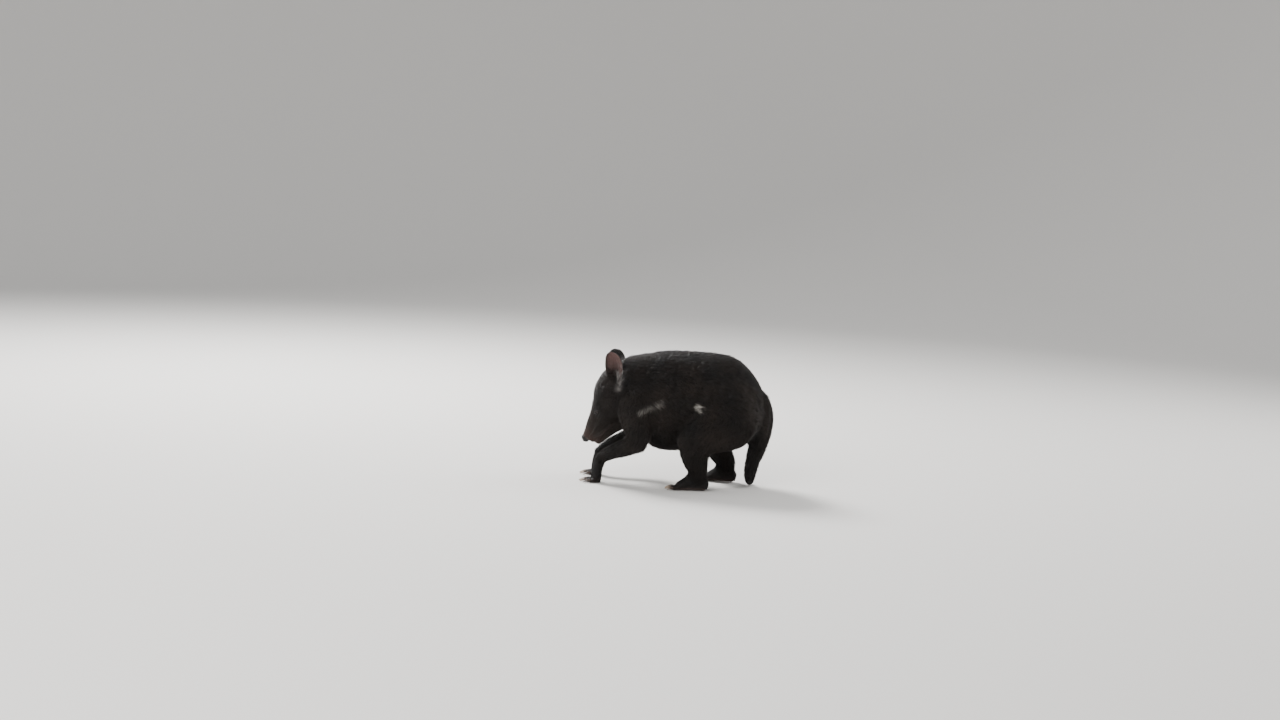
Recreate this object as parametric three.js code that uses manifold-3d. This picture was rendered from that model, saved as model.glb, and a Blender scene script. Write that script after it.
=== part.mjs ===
// A life-size model of a Tasmanian devil, as a museum shows it: an adult on all fours, its head down.
// It looks along -X, its left flank is towards -Y, and it stands on the plane Z = 0. Units are millimetres.
import * as THREE from "three";
import { mergeVertices } from "three/addons/utils/BufferGeometryUtils.js";
import { LoftGeometry } from "three/addons/geometries/LoftGeometry.js";
import Module from "manifold-3d";

const wasm = await Module();
wasm.setup();

// Driving dimensions
const GAP = 0.3; // clearance between neighbouring pieces
const BACK_HEIGHT = 272; // top of the arched back, to the tips of the coat
const TRUNK_HALF_WIDTH = 84;
const NECK_HALF_WIDTH = 60;
const HEAD_HALF_WIDTH = 60;
const HEAD_PITCH = THREE.MathUtils.degToRad(60); // how far the muzzle points down
const NOSE_TIP = [-184, 0, 74];
const HEAD_ROLL = THREE.MathUtils.degToRad(5); // the near side of the head is held a little higher
const EAR_HEIGHT = 64;
const EAR_HALF_WIDTH = 25;
const EAR_WALL = 2.6;
const EYE_RADIUS = 6.4;
const EYE_CENTRE = [65, 26.5, 15]; // in the head's own frame, of the right eye
const EYE_LOOK = [-0.35, 0.88, 0.32];
const UPPER_LIP_RADIUS = 2.6;
const LOWER_LIP_RADIUS = 2.2;
const TAIL_ROOT_RADIUS = 22;
const TAIL_TIP_RADIUS = 7;
const FOREFOOT_LAG = { left: 0, right: -5 }; // how much further back each foot stands
const HIND_FOOT_LAG = { left: 14, right: 72 };
const FORE_CLAW = 12;
const HIND_CLAW = 10;

const LEFT = -1;
const RIGHT = 1;
const SIDES = [
  ["left", LEFT],
  ["right", RIGHT],
];

// Finishes
const finish = (color, roughness) => new THREE.MeshStandardMaterial({ color, roughness, metalness: 0 });
const COAT = finish(0x15110f, 0.85);
const MUZZLE_SKIN = finish(0x2a201d, 0.6);
const EAR_SKIN = finish(0x6d4138, 0.65);
const EYE_GLOSS = finish(0x0b0706, 0.08);
const FOOT_SKIN = finish(0x2b1d1a, 0.7);
const HORN = finish(0xb8a78c, 0.45);

const vec = (x, y, z) => new THREE.Vector3(x, y, z);

// One oval section of a body: its centre, and how far it reaches sideways, upwards and downwards.
const oval = (x, y, z, side, up, down = up) => ({ at: vec(x, y, z), size: vec(side, up, down) });

// A closed skin over a row of outlines, with its faces outwards whichever way round the outlines run.
function skin(sections) {
  const middle = Math.floor(sections.length / 2);
  const outline = sections[middle];
  const centre = (points) => points.reduce((sum, p) => sum.add(p), vec(0, 0, 0)).divideScalar(points.length);
  const onward = centre(sections[middle + 1 < sections.length ? middle + 1 : middle]);
  onward.sub(centre(sections[middle - 1]));
  const winding = vec(0, 0, 0);
  outline.forEach((p, i) => winding.add(p.clone().cross(outline[(i + 1) % outline.length])));
  const wellWound = winding.dot(onward) > 0;
  const ordered = wellWound ? sections : sections.map((section) => [...section].reverse());
  return new LoftGeometry(ordered, { capStart: true, capEnd: true });
}

// A closed body over a row of ovals. Each end is flat, or a dome of the given length.
// The ovals stand square to the line through their centres, or all face one way.
function body(ovals, options = {}) {
  const { sides = 20, rings = 10, domes = [0, 0], domeSteps = 3, swellings = [], grow = 0 } = options;
  const { across = vec(0, 1, 0), upside = vec(0.01, 0, 1), facing } = options;
  const line = new THREE.CatmullRomCurve3(ovals.map((o) => o.at));
  const sizes = new THREE.CatmullRomCurve3(ovals.map((o) => o.size));
  const sections = [];
  const addSection = (t, shift, share) => {
    const along = facing ?? line.getTangent(t);
    const sideways = across.clone().addScaledVector(along, -across.dot(along)).normalize();
    const upwards = vec(0, 0, 0).crossVectors(along, sideways).normalize();
    if (upwards.dot(upside) < 0) upwards.negate();
    const centre = line.getPoint(t).addScaledVector(along, shift);
    const size = sizes.getPoint(t).addScalar(grow).multiplyScalar(share);
    const section = [];
    for (let i = 0; i < sides; i++) {
      const angle = (i / sides) * 2 * Math.PI;
      const height = Math.sin(angle) * (Math.sin(angle) > 0 ? size.y : size.z);
      const offset = sideways.clone().multiplyScalar(Math.cos(angle) * size.x);
      offset.addScaledVector(upwards, height);
      section.push(swell(centre.clone().add(offset), offset.clone().normalize(), swellings));
    }
    sections.push(section);
  };
  const domeEnd = (t, length, sign) => {
    const steps = [...Array(domeSteps).keys()].map((k) => ((k + 0.55) / (domeSteps + 0.55)) * 0.5 * Math.PI);
    if (sign < 0) steps.reverse();
    for (const angle of steps) {
      addSection(t, sign * (length + grow) * Math.sin(angle), Math.cos(angle));
    }
  };
  if (domes[0]) domeEnd(0, domes[0], -1);
  for (let i = 0; i <= rings; i++) {
    const flatShift = (i === 0 && !domes[0] ? -grow : 0) + (i === rings && !domes[1] ? grow : 0);
    addSection(i / rings, flatShift, 1);
  }
  if (domes[1]) domeEnd(1, domes[1], 1);
  return skin(sections);
}

// Moves a point of the surface outwards where a soft swelling, or inwards where a hollow, lies near it.
function swell(point, outwards, swellings) {
  const moved = point.clone();
  for (const { at, reach, rise } of swellings) {
    moved.addScaledVector(outwards, rise * Math.exp(-point.distanceToSquared(at) / (reach * reach)));
  }
  return moved;
}

// The same swelling on both sides of the middle plane.
const pair = (x, y, z, reach, rise) => SIDES.map(([, s]) => ({ at: vec(x, s * y, z), reach, rise }));

// A round rod of one thickness along a curve.
function rod(points, radius, steps = 16, curveSegments = 3) {
  const outline = new THREE.Shape().absarc(0, 0, radius, 0, 2 * Math.PI);
  const extrudePath = new THREE.CatmullRomCurve3(points);
  return new THREE.ExtrudeGeometry(outline, { steps, curveSegments, bevelEnabled: false, extrudePath });
}

// An egg shape with its own radii, tilt and place.
function egg(at, radii, turn = [0, 0, 0], detail = 12) {
  const shape = new THREE.SphereGeometry(1, detail, Math.max(6, detail - 2));
  const tilt = new THREE.Quaternion().setFromEuler(new THREE.Euler(...turn));
  return shape.applyMatrix4(new THREE.Matrix4().compose(vec(...at), tilt, vec(...radii)));
}

// A closed geometry as a solid that can be joined and cut.
function solid(geometry) {
  const bare = new THREE.BufferGeometry().setAttribute("position", geometry.getAttribute("position"));
  bare.setIndex(geometry.index);
  const merged = mergeVertices(bare, 1e-3);
  const positions = merged.getAttribute("position");
  const corner = [vec(0, 0, 0), vec(0, 0, 0), vec(0, 0, 0)];
  const faces = [];
  let volume = 0;
  for (let i = 0; i < merged.index.count; i += 3) {
    const [a, b, c] = [0, 1, 2].map((k) => merged.index.getX(i + k));
    if (a === b || b === c || c === a) continue;
    faces.push([a, b, c]);
    [a, b, c].forEach((v, k) => corner[k].fromBufferAttribute(positions, v));
    volume += corner[0].dot(corner[1].clone().cross(corner[2]));
  }
  const triVerts = new Uint32Array(faces.flatMap(([a, b, c]) => (volume < 0 ? [a, c, b] : [a, b, c])));
  const vertProperties = new Float32Array(positions.array);
  return new wasm.Manifold(new wasm.Mesh({ numProp: 3, vertProperties, triVerts }));
}

const join = (...solids) => solids.reduce((all, next) => all.add(next));
const cut = (piece, ...tools) => tools.reduce((left, tool) => left.subtract(tool), piece);

// The largest body of a cut piece, as a named mesh.
function mesh(name, piece, material) {
  const largest = piece.decompose().reduce((a, b) => (a.volume() > b.volume() ? a : b));
  const { numProp, vertProperties, triVerts } = largest.getMesh();
  const positions = new Float32Array((vertProperties.length / numProp) * 3);
  for (let i = 0; i < positions.length / 3; i++) {
    positions.set(vertProperties.subarray(i * numProp, i * numProp + 3), i * 3);
  }
  const geometry = new THREE.BufferGeometry();
  geometry.setAttribute("position", new THREE.BufferAttribute(positions, 3));
  geometry.setIndex(new THREE.BufferAttribute(new Uint32Array(triVerts), 1));
  geometry.computeVertexNormals();
  const made = new THREE.Mesh(geometry, material);
  made.name = name;
  return made;
}

const animal = new THREE.Group();
const head = new THREE.Group();
head.position.set(...NOSE_TIP);
head.rotation.set(HEAD_ROLL, -HEAD_PITCH, 0, "YXZ");
head.updateMatrix();
animal.add(head);
const inBody = (geometry) => geometry.applyMatrix4(head.matrix);

// The section that the neck and the trunk share
const COLLAR = oval(-62, 0, 174, 68, 88, 98);

// Trunk: deep chest, arched back, rounded rump
const trunkBody = (grow = 0) =>
  solid(
    body(
      [
        COLLAR,
        oval(-36, 0, 174, 0.9 * TRUNK_HALF_WIDTH, BACK_HEIGHT - 178, 108),
        oval(8, 0, 178, 0.98 * TRUNK_HALF_WIDTH, BACK_HEIGHT - 180, 110),
        oval(54, 0, 180, TRUNK_HALF_WIDTH, BACK_HEIGHT - 182, 101),
        oval(98, 0, 174, 0.96 * TRUNK_HALF_WIDTH, BACK_HEIGHT - 181, 93),
        oval(126, 0, 168, 0.86 * TRUNK_HALF_WIDTH, 79, 80),
        oval(147, 0, 161, 0.69 * TRUNK_HALF_WIDTH, 64, 64),
        oval(161, 0, 156, 0.48 * TRUNK_HALF_WIDTH, 46, 46),
        oval(168, 0, 154, 0.3 * TRUNK_HALF_WIDTH, 30, 30),
      ],
      {
        sides: 26,
        rings: 14,
        domes: [0, 5],
        domeSteps: 2,
        facing: vec(1, 0, 0),
        swellings: [...pair(-52, 56, 222, 40, 5), ...pair(96, 62, 205, 42, 5)],
        grow,
      },
    ),
  );

// Neck: short and nearly as thick as the head
const neckBody = (grow = 0) =>
  solid(
    body(
      [
        oval(-40, 0, 174, 74, 92, 104),
        COLLAR,
        oval(-90, 0, 179, 1.03 * NECK_HALF_WIDTH, 78, 91),
        oval(-115, 0, 181, 0.94 * NECK_HALF_WIDTH, 68, 74),
        oval(-136, 0, 179, 0.8 * NECK_HALF_WIDTH, 48, 50),
      ],
      { sides: 24, rings: 8, domes: [0, 14], facing: vec(-1, 0, 0), grow },
    ),
  );

// Skull with its muscles, in the head's own frame: nose tip at the origin, nape towards +X, crown up
const skullBody = (grow = 0) =>
  body(
    [
      oval(10, 0, -1, 19.5, 14, 13),
      oval(28, 0, 0, 25.5, 18, 16),
      oval(48, 0, 2, 29.5, 22, 20),
      oval(66, 0, 0, 36, 33, 27),
      oval(86, 0, -3, 0.84 * HEAD_HALF_WIDTH, 46, 42),
      oval(108, 0, -4, HEAD_HALF_WIDTH, 53, 54),
      oval(130, 0, -4, HEAD_HALF_WIDTH, 54, 56),
      oval(150, 0, -5, 0.86 * HEAD_HALF_WIDTH, 48, 50),
    ],
    {
      sides: 24,
      rings: 21,
      domes: [6, 14],
      domeSteps: 2,
      swellings: [
        ...pair(24, 20, -7, 11, 3.2),
        ...pair(70, 25, 25, 11, 3),
        ...pair(57, 30, 10, 9, -2.4),
        ...pair(94, 46, 0, 18, 3.5),
        ...pair(112, 48, -26, 22, 4),
      ],
      grow,
    },
  );

function eyeBall(s, radius) {
  const centre = [EYE_CENTRE[0], s * EYE_CENTRE[1], EYE_CENTRE[2]];
  return solid(egg(centre, [radius, radius, radius]));
}

// A soft ring round the opening of the eye, a little longer than high
function eyelids(s) {
  const ring = new THREE.TorusGeometry(EYE_RADIUS - 0.5, 2, 6, 14).scale(1.26, 0.84, 1.1);
  const look = vec(EYE_LOOK[0], s * EYE_LOOK[1], EYE_LOOK[2]).normalize();
  const turn = new THREE.Quaternion().setFromUnitVectors(vec(0, 0, 1), look);
  const centre = vec(EYE_CENTRE[0], s * EYE_CENTRE[1], EYE_CENTRE[2]).addScaledVector(look, 3.1);
  return solid(ring.applyMatrix4(new THREE.Matrix4().compose(centre, turn, vec(1, 1, 1))));
}

// A lip that runs from one corner of the mouth round the front to the other
function lip(halfPath, radius) {
  const left = halfPath.map(([x, y, z]) => vec(x, -y, z)).reverse();
  const right = halfPath.slice(1).map(([x, y, z]) => vec(x, y, z));
  return solid(rod([...left, ...right], radius, 12));
}

const UPPER_LIP_LINE = [
  [5.5, 0, -10],
  [10.5, 12.5, -11],
  [27, 21.5, -12.5],
  [45, 25, -14.5],
  [62, 30, -19],
];
const LOWER_LIP_LINE = [
  [8.5, 0, -15.5],
  [13, 10.5, -16.5],
  [28, 18.5, -18],
  [45, 22.5, -20],
  [60, 27.5, -24.5],
];
const upperLip = (grow = 0) => lip(UPPER_LIP_LINE, UPPER_LIP_RADIUS + grow);

const noseBody = (grow = 0) =>
  solid(egg([4, 0, 4.5], [7.5 + grow, 13.5 + grow, 9.5 + grow], [0, 0.25, 0]));
const nostril = (s) => egg([-3.2, s * 5.6, 3.6], [5.5, 3.2, 2.5], [s * 0.5, 0.2, s * -0.45], 8);

const skullSolid = (grow = 0) => join(solid(skullBody(grow)), upperLip(grow));

const jawShape = (grow = 0) =>
  body(
    [
      oval(13, 0, -18.5, 13.5, 7, 8.5),
      oval(30, 0, -21, 19.5, 9, 12),
      oval(50, 0, -24.5, 25, 11, 16.5),
      oval(70, 0, -29, 33, 13, 23),
      oval(90, 0, -34, 40, 14, 26),
      oval(106, 0, -37, 40, 14, 22),
    ],
    { sides: 14, rings: 5, domes: [6, 12], domeSteps: 2, grow },
  );

const eyeSockets = SIDES.map(([, s]) => eyeBall(s, EYE_RADIUS + GAP));
const lids = SIDES.map(([, s]) => eyelids(s));
const jawWithLip = join(solid(jawShape()), lip(LOWER_LIP_LINE, LOWER_LIP_RADIUS));
head.add(
  mesh("head", cut(join(skullSolid(), ...lids), noseBody(GAP), ...eyeSockets), COAT),
  mesh("lower_jaw", cut(jawWithLip, skullSolid(GAP)), MUZZLE_SKIN),
  mesh("nose", cut(noseBody(), ...SIDES.map(([, s]) => solid(nostril(s)))), MUZZLE_SKIN),
);
for (const [name, s] of SIDES) {
  head.add(mesh(`eye_${name}`, eyeBall(s, EYE_RADIUS), EYE_GLOSS));
}

// Ear: a thin cupped leaf, upright beside the crown, open to the front and the side
function earShell(s) {
  const root = vec(-137, s * 40, 199 - 3 * s);
  const stalk = vec(0.06, s * 0.2 - Math.sin(HEAD_ROLL), 0.97).normalize();
  const open = vec(-0.56, s * 0.83, 0);
  open.addScaledVector(stalk, -open.dot(stalk)).normalize();
  const wide = vec(0, 0, 0).crossVectors(stalk, open);
  const heights = [-0.14, 0, 0.12, 0.26, 0.42, 0.58, 0.72, 0.84, 0.93, 0.985];
  const points = 8;
  const sections = heights.map((h) => {
    const share = Math.max(0, h);
    const half = EAR_HALF_WIDTH * (0.6 + 0.85 * share) * Math.sqrt(1 - share ** 2.3);
    const cup = 15 * (1 - 0.7 * share) * (half / EAR_HALF_WIDTH);
    const centre = root.clone().addScaledVector(stalk, h * EAR_HEIGHT);
    const at = (u, lift) => {
      const point = centre.clone().addScaledVector(wide, half * u);
      return point.addScaledVector(open, cup * (u * u - 1) + 5 * share * share + lift);
    };
    const across = [...Array(points).keys()].map((k) => -1 + (2 * k) / (points - 1));
    const rim = 1 - 0.5 * (EAR_WALL / Math.max(half, EAR_WALL));
    return [...across.map((u) => at(u, 0)), ...across.map((u) => at(-rim * u, EAR_WALL))];
  });
  return skin(sections);
}

const trunkClear = trunkBody(GAP);
const neckClear = neckBody(GAP);
const headClear = join(solid(inBody(skullBody(GAP))), solid(inBody(jawShape(GAP))));
const trunkAndNeck = join(trunkClear, neckClear);

animal.add(mesh("torso", cut(trunkBody(), headClear), COAT));
animal.add(mesh("neck", cut(neckBody(), trunkClear, headClear), COAT));
for (const [name, s] of SIDES) {
  animal.add(mesh(`ear_${name}`, cut(solid(earShell(s)), headClear, neckClear), EAR_SKIN));
}

// Tail: thick at the root, hanging down behind the rump, its end laid on the ground
const tailPart = (places, radii, grow = 0, domes = [10, 10]) =>
  solid(
    body(
      places.map(([x, y, z], i) => oval(x, y, z, radii[i], radii[i])),
      { sides: 12, rings: 6, domes, domeSteps: 2, grow, upside: vec(1, 0, 0.2) },
    ),
  );
const TAIL = [
  {
    name: "tail_base",
    places: [
      [138, 0, 186],
      [156, 0, 173],
      [166, 0, 152],
      [168, 1, 130],
    ],
    radii: [25, TAIL_ROOT_RADIUS + 1, TAIL_ROOT_RADIUS, 21],
  },
  {
    name: "tail_middle",
    places: [
      [168, 1, 128],
      [164, 2, 104],
      [158, 4, 80],
      [152, 7, 58],
    ],
    radii: [20.7, 20, 19, 17],
  },
  {
    name: "tail_tip",
    places: [
      [152, 7, 56],
      [149, 12, 35],
      [149, 24, 17],
      [150, 40, 10],
      [149, 60, 6.5],
    ],
    radii: [16.7, 14.5, 12, 9.5, TAIL_TIP_RADIUS],
  },
];

const ground = solid(new THREE.BoxGeometry(900, 900, 100).translate(0, 0, -50));

// A toe that runs from the foot to the root of its claw
const toe = (from, to, radius) =>
  solid(
    body([oval(...from, radius, radius), oval(...to, radius * 0.86, radius * 0.8)], {
      sides: 7,
      rings: 1,
      domes: [radius * 0.8, radius * 0.75],
      domeSteps: 2,
    }),
  );

// A curved claw from inside the toe forwards and down, its tip just clear of the ground
function claw([x, y, z], spread, length, grow = 0) {
  const point = (share, drop) => [x - length * share, y + length * share * spread, z - drop];
  const tipDrop = z - 2.2;
  return solid(
    body(
      [
        oval(...point(-0.28, -0.6), 2.3, 2.7),
        oval(...point(0.1, -0.9), 2.2, 2.6),
        oval(...point(0.5, 0.3 * tipDrop), 1.6, 1.9),
        oval(...point(0.86, tipDrop), 0.7, 0.8),
      ],
      { sides: 5, rings: 3, domes: [0.6, 1], domeSteps: 1, grow },
    ),
  );
}

// A foot of one side: its sole, its toes with a claw each, trimmed flat where it stands
function makeFoot(name, { sole, toes, radius, clawLength, above }) {
  const claws = toes.map(({ to, spread }) => {
    const root = [to[0] - radius * 0.7, to[1] + radius * 0.6 * spread, to[2] + 0.9];
    return [root, spread];
  });
  const pads = toes.map(({ from, to }) => toe(from, to, radius));
  const cleared = claws.map(([root, spread]) => claw(root, spread, clawLength, GAP));
  const whole = cut(join(solid(sole), ...pads), ground, ...above, ...cleared);
  animal.add(mesh(name, whole, FOOT_SKIN));
  claws.forEach(([root, spread], i) => {
    animal.add(mesh(`${name}_claw_${i + 1}`, claw(root, spread, clawLength), HORN));
  });
}

const LEG_FRONT = vec(-1, 0, 0.1);
const segment = (ovals, options) => {
  const usual = { sides: 14, rings: 6, domes: [8, 8], domeSteps: 2 };
  return (grow = 0) => solid(body(ovals, { ...usual, ...options, grow }));
};

// Foreleg of one side, with its foot set back by `lag`
function foreleg(name, s, lag) {
  const upper = segment(
    [
      oval(-84, s * 36, 190, 24, 30, 34),
      oval(-88, s * 50, 162, 31, 40, 42),
      oval(-82 + 0.6 * lag, s * 60, 124, 26, 33),
      oval(-73 + lag, s * 64, 92, 19, 23),
    ],
    { upside: LEG_FRONT, domes: [24, 12], sides: 16, rings: 7 },
  );
  const lower = segment(
    [
      oval(-72 + lag, s * 64, 88, 17, 20),
      oval(-105 + lag, s * 57, 74, 16, 19),
      oval(-135 + lag, s * 48, 60, 13.5, 15),
      oval(-151 + lag, s * 44, 48, 12, 13),
    ],
    { domes: [8, 5] },
  );
  const x = -159 + lag;
  animal.add(mesh(`${name}_upper_arm`, cut(upper(), trunkAndNeck, headClear), COAT));
  animal.add(mesh(`${name}_forearm`, cut(lower(), upper(GAP), trunkAndNeck, headClear), COAT));
  const toes = [
    { out: -14, reach: 9, spread: -0.5 },
    { out: -7.2, reach: 16, spread: -0.2 },
    { out: 0, reach: 18, spread: 0.02 },
    { out: 7.2, reach: 15.5, spread: 0.24 },
    { out: 14, reach: 8, spread: 0.5 },
  ];
  makeFoot(`${name}_foot`, {
    sole: body(
      [
        oval(x + 8, s * 44, 50, 11.5, 11.5),
        oval(x + 4, s * 43.5, 32, 12.5, 11),
        oval(x + 1, s * 43, 14, 14.5, 10, 12),
        oval(x, s * 43, 1.5, 14.5, 8, 12),
      ],
      { upside: LEG_FRONT, domes: [3, 3], sides: 12, rings: 6, domeSteps: 1 },
    ),
    toes: toes.map(({ out, reach, spread }) => ({
      from: [x - 1, s * (43 + 0.86 * out), 6.6],
      to: [x - reach, s * (43 + out + 3 * spread), 4],
      spread: s * spread,
    })),
    radius: 5,
    clawLength: FORE_CLAW,
    above: [lower(GAP)],
  });
}

// Hind leg of one side, with its foot set back by `lag`; gives the space that its thigh takes up
function hindLeg(name, s, lag) {
  const thigh = segment(
    [
      oval(104 + 0.1 * lag, s * 40, 172, 29, 48, 64),
      oval(80 + 0.25 * lag, s * 56, 148, 35, 54, 74),
      oval(46 + 0.5 * lag, s * 67, 124, 32, 42, 56),
      oval(14 + 0.7 * lag, s * 70, 102, 26, 28, 38),
    ],
    { domes: [26, 14], sides: 18, rings: 6 },
  );
  const shank = segment(
    [
      oval(12 + 0.7 * lag, s * 70, 100, 25, 24, 38),
      oval(17 + 0.8 * lag, s * 68, 68, 20.5, 22, 37),
      oval(27 + lag, s * 64, 38, 15.5, 17, 24),
      oval(32 + lag, s * 62.5, 22, 13, 15, 17),
    ],
    { upside: LEG_FRONT, domes: [12, 4], rings: 6 },
  );
  const toes = [
    { out: -11.4, reach: 12, spread: -0.25 },
    { out: -3.8, reach: 16, spread: -0.06 },
    { out: 3.8, reach: 15.5, spread: 0.1 },
    { out: 11.4, reach: 11, spread: 0.3 },
  ];
  animal.add(mesh(`${name}_thigh`, cut(thigh(), trunkAndNeck), COAT));
  animal.add(mesh(`${name}_shank`, cut(shank(), thigh(GAP), trunkAndNeck), COAT));
  const x = -6 + lag;
  makeFoot(`${name}_foot`, {
    sole: body(
      [
        oval(x + 48, s * 61, 13.5, 11, 12.5, 14),
        oval(x + 30, s * 62, 17, 14, 19, 17.5),
        oval(x + 8, s * 64, 11, 15, 12, 12),
        oval(x - 2, s * 65, 8, 14, 8, 9),
      ],
      { domes: [12, 5], sides: 12, rings: 6, domeSteps: 2 },
    ),
    toes: toes.map(({ out, reach, spread }) => ({
      from: [x - 1, s * (65 + 0.86 * out), 5.2],
      to: [x - reach, s * (65 + out + 3 * spread), 4],
      spread: s * spread,
    })),
    radius: 4.8,
    clawLength: HIND_CLAW,
    above: [shank(GAP)],
  });
  return thigh(GAP);
}

foreleg("left_fore", LEFT, FOREFOOT_LAG.left);
foreleg("right_fore", RIGHT, FOREFOOT_LAG.right);
const leftThigh = hindLeg("left_hind", LEFT, HIND_FOOT_LAG.left);
const rightThigh = hindLeg("right_hind", RIGHT, HIND_FOOT_LAG.right);

TAIL.forEach(({ name, places, radii }, i) => {
  const nearer = i > 0 ? [tailPart(TAIL[i - 1].places, TAIL[i - 1].radii, GAP)] : [];
  const shape = tailPart(places, radii);
  animal.add(mesh(name, cut(shape, trunkClear, leftThigh, rightThigh, ...nearer, ground), COAT));
});

// The frame's origin lies under the middle of the whole, on the ground
animal.updateMatrixWorld(true);
const bounds = new THREE.Box3().setFromObject(animal, true);
for (const child of animal.children) {
  child.position.x -= (bounds.min.x + bounds.max.x) / 2;
  child.position.y -= (bounds.min.y + bounds.max.y) / 2;
  child.position.z -= bounds.min.z;
}

export default animal;
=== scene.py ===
"""Dresses the life-size Tasmanian devil: a skin over its solids, a coat of tufts, eyes, claws and whiskers.

Lengths are in metres, apart from those that end in _mm or are said to be in millimetres, as all sizes in
the head's frame are. The animal looks along -X and stands on Z = 0.
"""

import logging
import math
from dataclasses import dataclass, field
from enum import Enum

import bmesh
import bpy
import numpy as np
from mathutils import Matrix, Vector
from mathutils.bvhtree import BVHTree


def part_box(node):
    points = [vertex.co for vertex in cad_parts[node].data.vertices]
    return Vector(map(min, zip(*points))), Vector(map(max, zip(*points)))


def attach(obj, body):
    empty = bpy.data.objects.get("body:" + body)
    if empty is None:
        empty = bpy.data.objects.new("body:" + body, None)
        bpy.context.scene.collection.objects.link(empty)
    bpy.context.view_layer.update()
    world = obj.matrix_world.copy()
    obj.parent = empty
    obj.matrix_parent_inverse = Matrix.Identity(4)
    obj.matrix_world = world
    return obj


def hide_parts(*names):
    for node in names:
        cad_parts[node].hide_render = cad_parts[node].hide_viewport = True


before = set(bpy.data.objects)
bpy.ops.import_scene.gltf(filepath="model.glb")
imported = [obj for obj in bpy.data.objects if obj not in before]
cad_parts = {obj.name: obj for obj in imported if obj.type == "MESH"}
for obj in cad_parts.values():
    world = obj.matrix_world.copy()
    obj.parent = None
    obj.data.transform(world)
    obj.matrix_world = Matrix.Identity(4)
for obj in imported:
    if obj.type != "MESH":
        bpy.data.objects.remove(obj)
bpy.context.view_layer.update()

logging.basicConfig(level=logging.INFO, format="%(message)s")
log = logging.getLogger("devil")

MM = 0.001
MERGE = 0.002 * MM  # points of a solid that are closer than this become one
PALE = 0.2  # hair whose strongest colour is above this counts as pale
Span = tuple[float, float]
Tone = tuple[float, float, float]
Line = tuple[tuple[float, ...], ...]


class Side(Enum):
    """A side of the animal, with the sign of its Y."""

    LEFT = -1
    RIGHT = 1


class Region(Enum):
    """A stretch of the body whose hair is alike, with the beginnings of its nodes' names."""

    MUZZLE = ("nose", "lower_jaw")
    HEAD = ("head",)
    EAR = ("ear_",)
    NECK = ("neck",)
    TORSO = ("torso",)
    TAIL = ("tail_",)
    UPPER_LEG = ("left_fore_upper", "right_fore_upper", "left_hind_thigh", "right_hind_thigh")
    LOWER_LEG = ("left_fore_forearm", "right_fore_forearm", "left_hind_shank", "right_hind_shank")
    FOOT = ("left_fore_foot", "right_fore_foot", "left_hind_foot", "right_hind_foot")


@dataclass(frozen=True)
class Hair:
    """The coat of one region: lengths in millimetres, and its density next to the other regions."""

    depth: float
    length: float
    width: float
    density: float


HAIR: dict[Region, Hair] = {
    Region.MUZZLE: Hair(depth=0.7, length=2.4, width=0.3, density=0.9),
    Region.HEAD: Hair(depth=2.4, length=7.0, width=0.46, density=0.8),
    Region.EAR: Hair(depth=0.3, length=3.0, width=0.34, density=0.75),
    Region.NECK: Hair(depth=6.0, length=15.0, width=0.8, density=0.36),
    Region.TORSO: Hair(depth=6.5, length=17.0, width=0.92, density=0.27),
    Region.TAIL: Hair(depth=3.6, length=13.0, width=0.72, density=0.36),
    Region.UPPER_LEG: Hair(depth=5.2, length=13.0, width=0.76, density=0.33),
    Region.LOWER_LEG: Hair(depth=3.0, length=9.0, width=0.6, density=0.42),
    Region.FOOT: Hair(depth=0.9, length=3.8, width=0.4, density=0.6),
}


@dataclass
class HeadFrame:
    """The head's own frame: its origin at the tip of the nose, +X to the nape, +Z to the crown."""

    pitch: float = math.radians(60)
    roll: float = math.radians(5)
    eye: Vector = field(default_factory=lambda: Vector((65, 26.5, 15)) * MM)

    def __post_init__(self) -> None:
        """Works out the frame's place from the two eyes of the solids."""
        centres = [sum(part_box(f"eye_{s.name.lower()}"), Vector()) / 2 for s in Side]
        turn = Matrix.Rotation(-self.pitch, 3, "Y") @ Matrix.Rotation(self.roll, 3, "X")
        middle = (centres[0] + centres[1]) / 2
        origin = middle - turn @ Vector((self.eye.x, 0, self.eye.z))
        self.matrix = Matrix.Translation(origin) @ turn.to_4x4()
        self.inverse = self.matrix.inverted()

    def local(self, points: np.ndarray) -> np.ndarray:
        """Points of the body in the head's own frame, in millimetres.

        Args:
            points: Points in metres, one a row.

        Returns:
            The same points in the head's frame, in millimetres.
        """
        turn = np.array(self.inverse.to_3x3())
        return (points @ turn.T + np.array(self.inverse.translation)) / MM

    def world(self, x: float, y: float, z: float) -> Vector:
        """A point of the head, given in millimetres, in the body's frame in metres."""
        return self.matrix @ (Vector((x, y, z)) * MM)

    def direction(self, x: float, y: float, z: float) -> np.ndarray:
        """A direction of the head in the body's frame, of length one."""
        return np.array((self.matrix.to_3x3() @ Vector((x, y, z))).normalized())


HEAD = HeadFrame()


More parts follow.
